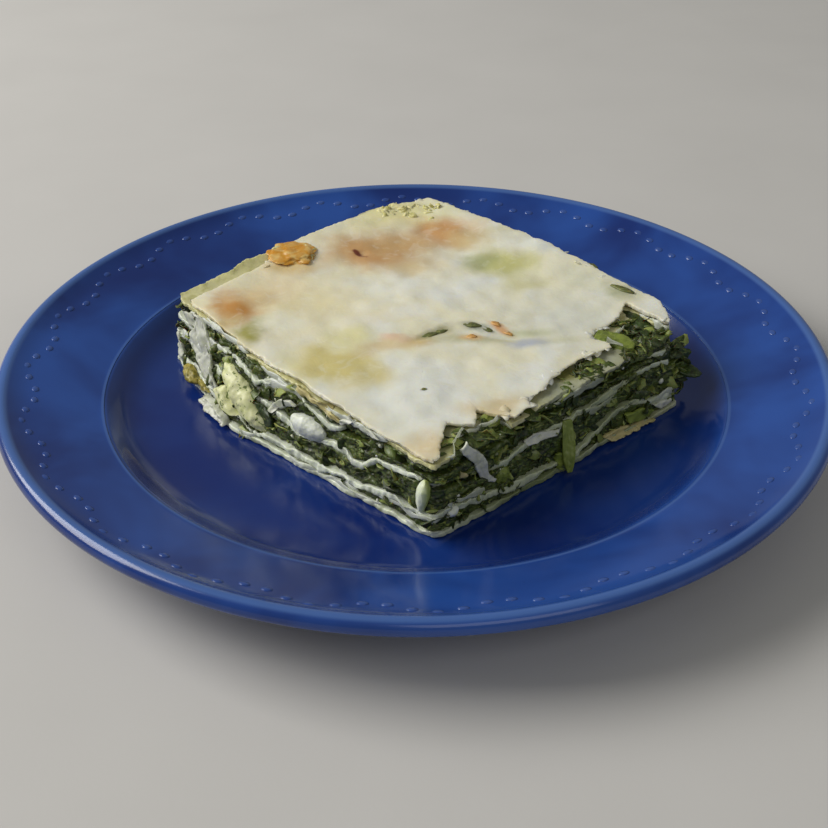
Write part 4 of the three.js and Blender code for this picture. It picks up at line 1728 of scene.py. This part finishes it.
@dataclass(frozen=True)
class Folds:
    """Loose folds that show as second pale lines beside the cut edges of the sheets."""

    per_sheet: int = 18
    on_base: int = 7
    step: float = 0.9
    lengths: Pair = (8.0, 30.0)
    widths: Pair = (1.4, 3.4)
    lifts: Pair = (0.5, 2.0)
    base_lift: float = 1.0
    least_steps: int = 4
    rows: int = 4
    thick: float = 0.4
    broad_fray: Waves = Waves(4, 0.8)
    fine_fray: Waves = Waves(1.3, 0.35)
    rise: Waves = Waves(6, 1.1, 3)
    lean: Waves = Waves(7, 0.5, 8)
    reach: float = 0.75
    bulge: float = 0.22
    inset: float = 0.45
    seed: int = 7

    def build(self, solids: PackedSolids, material: bpy.types.Material) -> None:
        """Adds the folds of all sheets as one piece."""
        draw = random.Random(self.seed)
        scatter = Scatter()
        for node in PASTRY_LAYERS:
            side = solids.tree(node, steep_only=True)
            starts = solids.steep_places(node)
            lowest = node == "base_pastry"
            for _ in range(self.on_base if lowest else self.per_sheet):
                path = self.trace(side, draw.choice(starts), draw.uniform(*self.lengths))
                lift = self.base_lift if lowest else draw.choice((-1, 1)) * draw.uniform(*self.lifts)
                width = self.widths[0] if lowest else draw.uniform(*self.widths)
                fold = self.fold(path, width, lift, draw.uniform(0, 50))
                scatter.put(fold, Matrix.Identity(4), draw.random())
        add_piece("loose_folds", scatter.mesh("loose_folds"), material)

    def trace(self, side: BVHTree, start: Vector, length: float) -> list[tuple[Vector, Vector]]:
        """Follows a sheet's cut edge and gives places with their outward directions."""
        path = []
        at = start
        for _ in range(max(self.least_steps, round(length / self.step))):
            here, outward, _, _ = side.find_nearest(at)
            outward = Vector((outward.x, outward.y, 0)).normalized()
            path.append((here, outward))
            at = here + UP.cross(outward) * (self.step * MM)
        return path

    def fold(self, path: Sequence[tuple[Vector, Vector]], width: float, lift: float, seed: float) -> Shape:
        """A bulging strip along a path.

        Args:
            path: Places along the cut edge with outward directions.
            width: The strip's height, in millimetres.
            lift: How far it lies above the edge.
            seed: A shift of the noise.

        Returns:
            The closed strip.
        """
        bm = bmesh.new()
        bmesh.ops.create_grid(bm, x_segments=len(path), y_segments=self.rows, size=1)
        for vert in bm.verts:
            along, across = (vert.co.x + 1) / 2, vert.co.y
            index = min(int(along * (len(path) - 1)), len(path) - 2)
            share = along * (len(path) - 1) - index
            here = path[index][0].lerp(path[index + 1][0], share)
            outward = path[index][1].lerp(path[index + 1][1], share)
            taper = math.sqrt(max(0.0, 1 - (2 * along - 1) ** 4))
            fray = 1 + self.broad_fray.at_place(here, seed) + self.fine_fray.at_place(here, seed + across)
            half = width / 2 * taper * fray
            rise = lift + self.rise.at_place(here, seed) + across * half
            lean = self.lean.at_place(here, seed) * across
            bulge = self.bulge * half * (1 - across * across)
            reach = self.reach * taper + bulge - self.inset + lean
            vert.co = here + UP * (rise * MM) + outward * (reach * MM)
        bmesh.ops.solidify(bm, geom=bm.faces[:], thickness=self.thick * MM)
        bmesh.ops.recalc_face_normals(bm, faces=bm.faces)
        return Shape.of(bm)


@dataclass(frozen=True)
class Sliver:
    """A small leaf or flake that lies on the crust, seen from above, in millimetres and degrees."""

    at: Pair
    size: Pair
    turn: float


@dataclass
class CrustBits:
    """What lies on the crust and breaks its outline: slivers, the blister, crumbs and torn flakes.

    Sizes and places are in millimetres. ABOVE is a height over the whole slice, LEVEL the crust's.
    """

    ABOVE = 60
    LEVEL = 34

    surface: BVHTree
    green: tuple[Sliver, ...] = (
        Sliver((4.2, -6.0), (7.0, 2.6), 37),
        Sliver((8.4, -2.6), (5.4, 3.0), 40),
        Sliver((18.3, -0.6), (6.0, 2.6), -10),
        Sliver((23.0, -2.6), (3.8, 1.8), -30),
        Sliver((69.5, 21.6), (9.0, 3.0), -38),
        Sliver((60.8, 38.8), (6.4, 3.0), -40),
        Sliver((2.4, -40.0), (1.5, 0.9), 20),
    )
    orange: tuple[Sliver, ...] = (
        Sliver((25.8, 0.2), (3.8, 2.0), -46),
        Sliver((29.4, -3.8), (4.2, 1.6), -42),
        Sliver((17.9, -7.4), (3.4, 2.4), 0),
    )
    blister_at: Pair = (-43.2, 49.3)
    blister_size: Triple = (8.6, 7.8, 1.9)
    blister_sink: float = 0.3
    blister_rough: tuple[Pair, ...] = ((0.36, 1.7), (0.14, 4.0))
    sliver_thick: float = 0.35
    sliver_curl: float = 0.3
    sliver_seed_step: float = 3.1
    sliver_rise: float = 0.15
    crumb_count: int = 46
    crumb_forms: ScrapForms = ScrapForms(7, (2.4, 5.5), (1.8, 3.6), 0.9, (0.5, 1.2), 90)
    crumb_tilt: float = 0.4
    crumb_sink: float = 0.2
    back_corner: Pair = (-15.0, 9.0)
    back_edge: float = 87.0
    back_spread: float = 4.0
    blister_ring: Pair = (6.4, 5.6)
    flake_count: int = 60
    flake_forms: int = 8
    flake_lengths: Pair = (3.0, 6.5)
    flake_widths: Pair = (1.8, 3.4)
    flake_thick: float = 0.24
    flake_curl: float = 0.3
    flake_seed: int = 70
    flake_tilt: float = 0.16
    flake_inset: float = 1.6
    flake_sinks: Pair = (0.15, 0.45)
    left_limit: float = -30.0
    seed: int = 19

    def build(self, solids: PackedSolids, baked: bpy.types.Material) -> None:
        """Adds all of them."""
        leaf = SpinachFinish("slit_herb", srgb(82, 88, 42), srgb(120, 124, 66), srgb(168, 168, 110))
        add_piece("slit_greens", self.slivers(self.green, "slit_greens"), leaf.material())
        orange = MoistFinish("orange_flecks", srgb(216, 166, 98), srgb(200, 136, 72), 2.0)
        flecks = self.slivers(self.orange, "orange_flecks")
        add_piece("orange_flecks", flecks, orange.material())
        browned = MoistFinish(
            "orange_blister", srgb(202, 142, 40), srgb(222, 190, 118), 4.5, 0.95, gloss=0.3, relief=0.1
        )
        add_piece("orange_blister", self.blister(), browned.material())
        draw = random.Random(self.seed)
        crumb = MoistFinish("back_crumbs", srgb(226, 218, 160), srgb(188, 182, 100), 2.4, 0.8, gloss=0.45)
        add_piece("back_crumbs", self.crumbs(draw), crumb.material())
        add_piece("torn_flakes", self.flakes(draw, solids), baked)

    def on_crust(self, x: float, y: float) -> Vector:
        """The crust's surface at a place seen from above."""
        hit = self.surface.ray_cast(mm(x, y, self.ABOVE), -UP)[0]
        return hit or self.surface.find_nearest(mm(x, y, self.LEVEL))[0]

    def slivers(self, parts: Iterable[Sliver], name: str) -> bpy.types.Mesh:
        """Thin scraps that lie on the crust."""
        scatter = Scatter()
        for index, part in enumerate(parts):
            seed = self.sliver_seed_step * index
            shape = leaf_shape(*part.size, self.sliver_thick, self.sliver_curl, seed)
            place = Matrix.Translation(self.on_crust(*part.at) + UP * (self.sliver_rise * MM))
            turn = Matrix.Rotation(math.radians(part.turn), 4, "Z")
            scatter.put(shape, place @ turn, MIDDLE_SHADE)
        return scatter.mesh(name)

    def blister(self) -> bpy.types.Mesh:
        """The crisp orange blister at the back left edge."""
        bm = bmesh.new()
        bmesh.ops.create_icosphere(bm, subdivisions=5, radius=1)
        centre = self.on_crust(*self.blister_at) - UP * (self.blister_sink * MM)
        for vert in bm.verts:
            lumps = (share * noise.noise(vert.co * scale) for share, scale in self.blister_rough)
            rough = sum(lumps, start=1)
            vert.co = centre + mm(*(a * b * rough for a, b in zip(vert.co, self.blister_size)))
        return to_mesh("orange_blister", bm)

    @staticmethod
    def drawn_spin(draw: random.Random, tilt: float) -> Matrix:
        """Any turn about the upright axis, tipped a little, with the spread of tilt in radians."""
        spin = Euler((draw.gauss(0, tilt), draw.gauss(0, tilt), draw.uniform(0, math.tau)))
        return spin.to_matrix().to_4x4()

    def crumbs(self, draw: random.Random) -> bpy.types.Mesh:
        """Crumbly bits on the crust's back corner and round the blister."""
        shapes = self.crumb_forms.drawn(draw)
        scatter = Scatter()
        for index in range(self.crumb_count):
            if index % 3:
                along = draw.uniform(*self.back_corner)
                place = self.on_crust(along, self.back_edge - abs(draw.gauss(0, self.back_spread)))
            else:
                angle = draw.uniform(0, math.tau)
                x, y = self.blister_at
                across, along = self.blister_ring
                place = self.on_crust(x + across * math.cos(angle), y + along * math.sin(angle))
            spin = self.drawn_spin(draw, self.crumb_tilt)
            at = Matrix.Translation(place - UP * (self.crumb_sink * MM))
            scatter.put(draw.choice(shapes), at @ spin, draw.random())
        return scatter.mesh("back_crumbs")

    def flakes(self, draw: random.Random, solids: PackedSolids) -> bpy.types.Mesh:
        """Thin flakes along the crust's torn edges, none of them at the left cut face."""
        shapes = []
        for index in range(self.flake_forms):
            length = draw.uniform(*self.flake_lengths)
            width = draw.uniform(*self.flake_widths)
            shape = leaf_shape(length, width, self.flake_thick, self.flake_curl, self.flake_seed + index)
            shapes.append(shape)
        scatter = Scatter()
        places = solids.steep_places("top_crust")
        for _ in range(self.flake_count):
            place = draw.choice(places)
            if place.x + place.y < self.left_limit * MM:
                continue
            spin = self.drawn_spin(draw, self.flake_tilt)
            inward = Vector((-place.x, -place.y, 0)).normalized() * (self.flake_inset * MM)
            seat = self.on_crust((place.x + inward.x) / MM, (place.y + inward.y) / MM)
            at = Matrix.Translation(seat - UP * (draw.uniform(*self.flake_sinks) * MM))
            scatter.put(draw.choice(shapes), at @ spin, draw.random())
        mesh = scatter.mesh("torn_flakes")
        mesh.attributes.new("rim", "FLOAT", "POINT")
        return mesh


@dataclass
class Slice:
    """The slice of pie: its layers from the plate up, and what lies in its cut faces."""

    solids: PackedSolids
    sheets: tuple[PastrySheet, ...] = (
        PastrySheet("base_pastry", "bottom_pastry", swell=0.3, jag=0.45, ripple=0.12, seed=1),
        PastrySheet("pastry_sheet_1", "lower_pastry", seed=2),
        PastrySheet("pastry_sheet_2", "middle_pastry", seed=3),
        PastrySheet("pastry_sheet_3", "upper_pastry", seed=4),
    )
    fillings: tuple[Filling, ...] = (
        Filling("spinach_seam", "seam_filling", depth=0.7, leaf_size=2.4, seed=11),
        Filling("spinach_lower", "lower_filling", seed=12),
        Filling("spinach_middle", "middle_filling", seed=13),
        Filling("spinach_upper", "upper_filling", seed=14),
    )
    covers: tuple[str, ...] = (
        "pastry_sheet_1",
        "pastry_sheet_2",
        "pastry_sheet_3",
        "pastry_sheet_4",
        "top_crust",
    )
    morsels: tuple[Morsel, ...] = (
        Morsel("cheese_lump", "cheese_lump_white", Slot.WHITE_CHEESE, depth=0.35),
        Morsel("cheese_crumb", "cheese_crumb_white", Slot.WHITE_CHEESE, 0.35),
        Morsel("egg_piece", "egg_chunk", Slot.EGG, depth=0.7, size=4.6),
        Morsel("golden_crumb", "golden_crumb_baked", Slot.BROWNED_PASTRY, depth=0.6),
        Morsel("leek_slice", "leek_ring_cut", Slot.LEEK, 0.4, 0.2, 1.4, (1, 1, 0.3)),
        Morsel("stem_bud", "stem_bud_cut", Slot.STEM, 0.4, 0.5, 1.6),
        Morsel("stem_hanging", "stem_hanging_cut", Slot.STEM, 0.5, 0.25, 1.2, (1, 1, 0.2), 2),
        Morsel("stem_on_top", "stem_flat_cut", Slot.STEM, 0.5, 0.2, 1.6, smooth=2),
        Morsel("leaf_on_top", "leaf_flat", Slot.LEAF, 0.5, 0.4, 3, smooth=2),
        Morsel("leaf_at_right", "leaf_tuft", Slot.LEAF, 0.45, 0.4, 2, smooth=2),
        Morsel("pastry_drape", "pastry_drape_soft", Slot.PASTRY, 0.6, 0.5, 5, smooth=2, drift=1.0),
        Morsel("pastry_strip", "pastry_strip_soft", Slot.PASTRY, 0.5, 0.5, 3, smooth=4, drift=1.2),
    )
    clearance: float = 2.0
    # Painted shade: greenish darkening on the front-right cut face of the pastry sheets.
    right_face_painted_shade: tuple[Patch, ...] = (
        Patch((45, -41), (62, 11), srgb(176, 184, 144), 42.7, 0.75, 0.7),
        Patch((62, -25), (16, 9), srgb(148, 156, 112), 42.7, 0.6, 0.8),
    )
    # Painted shade: greenish darkening on the front-right cut face of the bottom sheet.
    bottom_right_face_painted_shade: tuple[Patch, ...] = (
        Patch((45, -41), (58, 11), srgb(138, 147, 104), 42.7, 0.85, 0.6),
        Patch((34, -52), (16, 8), srgb(98, 110, 62), 42.7, 0.7, 0.9),
        Patch((76, -12), (10, 8), srgb(160, 158, 110), 42.7, 0.6, 0.9),
    )
    # The first five patches are painted shade on the front-right part and the front tip, except the fourth,
    # a real olive stain.
    under_crust_light_and_shade_patches: tuple[Patch, ...] = (
        Patch((54, -24), (34, 16), srgb(158, 160, 134), 42, 0.9, 0.6),
        Patch((9, -62), (9, 10), srgb(128, 130, 92), 0, 0.9, 0.6),
        Patch((44, -38), (8, 6), srgb(160, 164, 140), 40, 0.9, 0.7),
        Patch((46.5, -27), (6, 4), srgb(112, 112, 48), 40, 0.9, 0.6),
        Patch((56, -19), (8, 6), srgb(166, 170, 150), 40, 0.9, 0.7),
        # Painted light on the back-left strip, then a real green line in it.
        Patch((-66, 43), (20, 7), srgb(228, 222, 160), 37.5, 0.85, 0.7),
        Patch((-68, 41), (12, 1.2), srgb(152, 154, 76), 34, 0.65, 0.8),
    )

    def build(self) -> None:
        """Builds every layer, then the morsels and the scattered greens."""
        self.build_pastry()
        self.build_fillings()
        self.build_morsels()

    def build_pastry(self) -> None:
        """The inner sheets, the oiled sheet under the crust, and the crust."""
        # The sheets carry painted shade on their front-right cut face, and the filling's stains.
        pastry = PastryFinish(
            "soft_pastry", srgb(221, 227, 208), srgb(142, 152, 96), 0.6, patches=self.right_face_painted_shade
        ).material()
        soaked = PastryFinish(
            "soaked_pastry", srgb(218, 224, 202), srgb(136, 146, 88), 0.7, patches=self.bottom_right_face_painted_shade
        ).material()
        for sheet in self.sheets:
            finish = soaked if sheet.node == "base_pastry" else pastry
            add_piece(sheet.piece, sheet.build(self.solids), finish, [sheet.node])
        oiled = PastryFinish(
            "oiled_pastry", srgb(206, 202, 152), srgb(160, 156, 84), 0.6, patches=self.under_crust_light_and_shade_patches
        )
        under = PastrySheet(
            "pastry_sheet_4",
            "under_crust_pastry",
            jag=1.0,
            stand=0.1,
            swell=0.15,
            seed=5,
            lifts=(Bump((-71, 38), (12, 4.5), 2.4, 37.5), Bump((-56, 50), (11, 4.5), 2.4, 37.5)),
        )
        add_piece(under.piece, under.build(self.solids), oiled.material(), [under.node])
        crust = Crust("top_crust", "baked_crust", seed=6)
        baked = CrustFinish().material()
        add_piece(crust.piece, crust.build(self.solids), baked, [crust.node])
        Folds().build(self.solids, pastry)
        CrustBits(crust.surface).build(self.solids, baked)

    def build_fillings(self) -> None:
        """The spinach layers with their scattered leaves."""
        finish = SpinachFinish("cooked_spinach", srgb(30, 38, 12), srgb(80, 94, 34), srgb(150, 160, 82))
        spinach = finish.material()
        for filling in self.fillings:
            mesh = filling.build(self.solids, self.covers)
            add_piece(filling.piece, mesh, spinach, [filling.node])
        torn = self.solids.open_spots("pastry_sheet_4", "top_crust")
        right_half = [spot for spot in torn if spot.at.x > 0]
        kept_clear = self.solids.tree("pastry_strip", "cheese_lump", "leek_slice", "stem_hanging")
        clear = []
        for filling in self.fillings:
            for spot in filling.spots:
                if kept_clear.find_nearest(spot.at)[3] > self.clearance * MM:
                    clear.append(spot)
        Greens().build(clear, right_half)

    def build_morsels(self) -> None:
        """Cheese, egg, leek, stems, leaves and loose pastry, then the scraps in the cut faces."""
        leek_green = Patch((4.6, -74.5), (3.0, 6.0), srgb(166, 180, 76), 0, 0.9, 0.5)
        recipes = {
            Slot.PASTRY: PastryFinish("draped_pastry", srgb(206, 208, 192), srgb(150, 156, 112)),
            Slot.WHITE_CHEESE: MoistFinish("white_cheese", srgb(226, 230, 218), srgb(206, 212, 190), 4),
            Slot.EGG: MoistFinish(
                "boiled_egg", srgb(226, 226, 176), srgb(200, 208, 130), 4, 0.6, speck=srgb(96, 116, 40)
            ),
            Slot.BROWNED_PASTRY: MoistFinish(
                "golden_crumb", srgb(164, 150, 66), srgb(104, 100, 36), 2.2, 0.9
            ),
            Slot.LEEK: MoistFinish(
                "leek", srgb(232, 238, 214), srgb(196, 208, 140), 4, 0.5, (1, 1, 0.3), patches=(leek_green,)
            ),
            Slot.STEM: MoistFinish("stem", srgb(128, 142, 58), srgb(84, 100, 34), 2.4, 0.8, (1, 1, 0.4)),
            Slot.LEAF: SpinachFinish("leaf", srgb(24, 34, 12), srgb(54, 72, 24), srgb(98, 116, 46)),
            Slot.OILED_PASTRY: PastryFinish("tanned_pastry", srgb(190, 178, 122), srgb(138, 130, 66)),
        }
        finishes = {slot: recipe.material() for slot, recipe in recipes.items()}
        for morsel in self.morsels:
            morsel.build(self.solids, finishes[morsel.slot])
        Chips().build(self.solids, finishes)


@dataclass(frozen=True)
class SoftBox:
    """A rectangular light, its place and size in metres."""

    name: str
    at: Triple
    size: Pair
    watts: float
    colour: Colour

    def build(self, aim: Triple) -> None:
        """Adds the light, turned to a point."""
        data = bpy.data.lights.new(self.name, "AREA")
        data.shape = "RECTANGLE"
        data.size, data.size_y = self.size
        data.energy = self.watts
        data.color = self.colour[:3]
        light = bpy.data.objects.new(self.name, data)
        light.location = self.at
        direction = Vector(aim) - Vector(self.at)
        light.rotation_euler = direction.to_track_quat("-Z", "Y").to_euler()
        bpy.context.scene.collection.objects.link(light)


@dataclass
class Studio:
    """A pale floor, soft lights and the camera. Places are in metres."""

    camera_at: Triple = (-0.000644, -0.396494, 0.257774)
    camera_tilt: float = 56.963
    lens: float = 60.87
    sensor: float = 36.0
    clip_start: float = 0.01
    aim: Triple = (0.0, 0.0, 0.02)
    lights: tuple[SoftBox, ...] = (
        SoftBox("window", (-1.34, 0.25, 1.04), (1.3, 1.0), 30.0, srgb(252, 250, 247)),
        SoftBox("fill", (0.5, -1.2, 1.1), (1.2, 0.8), 4, srgb(250, 250, 250)),
    )
    sky: Colour = srgb(224, 225, 222)
    sky_strength: float = 0.26
    floor_reach: float = 2.5
    floor_colours: tuple[Colour, Colour] = (srgb(196, 194, 190), srgb(204, 202, 198))
    floor_cloud: float = 60.0
    floor_roughness: float = 0.85
    floor_relief: Relief = Relief(2, 2, 0.02)

    def build_camera(self) -> None:
        """The camera at the photograph's angle."""
        data = bpy.data.cameras.new("camera")
        data.lens = self.lens
        data.sensor_width = self.sensor
        data.clip_start = self.clip_start
        camera = bpy.data.objects.new("camera", data)
        camera.location = self.camera_at
        camera.rotation_euler = (math.radians(self.camera_tilt), 0, 0)
        bpy.context.scene.collection.objects.link(camera)
        bpy.context.scene.camera = camera

    def build_floor(self) -> None:
        """The pale floor, which isn't part of the object."""
        bm = bmesh.new()
        bmesh.ops.create_grid(bm, x_segments=1, y_segments=1, size=self.floor_reach)
        mesh = to_mesh("floor", bm)
        recipe = Recipe("pale_floor")
        colour = recipe.blend(recipe.lumps(self.floor_cloud, 3), *self.floor_colours)
        relief = recipe.relief(self.floor_relief)
        mesh.materials.append(recipe.finish(colour, self.floor_roughness, relief, Specular_IOR_Level=0.15))
        floor = bpy.data.objects.new("floor", mesh)
        bpy.context.scene.collection.objects.link(floor)

    def build(self) -> None:
        """The floor, the world and the lights."""
        self.build_floor()
        world = bpy.data.worlds.new("studio")
        world.use_nodes = True
        background = world.node_tree.nodes["Background"]
        background.inputs["Color"].default_value = self.sky
        background.inputs["Strength"].default_value = self.sky_strength
        bpy.context.scene.world = world
        bpy.context.scene.view_settings.view_transform = "Standard"
        for light in self.lights:
            light.build(self.aim)


def main() -> None:
    """Loads the frame and builds the pie and its studio."""
    logging.basicConfig(level=logging.INFO, format="%(name)s: %(message)s")
    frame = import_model()
    noise.seed_set(DRIFT_SEED)
    studio = Studio()
    studio.build_camera()
    studio.build()
    Plate().build()
    Slice(PackedSolids(frame["nodes"])).build()
    bpy.context.view_layer.update()
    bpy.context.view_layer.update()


if __name__ == "__main__":
    main()
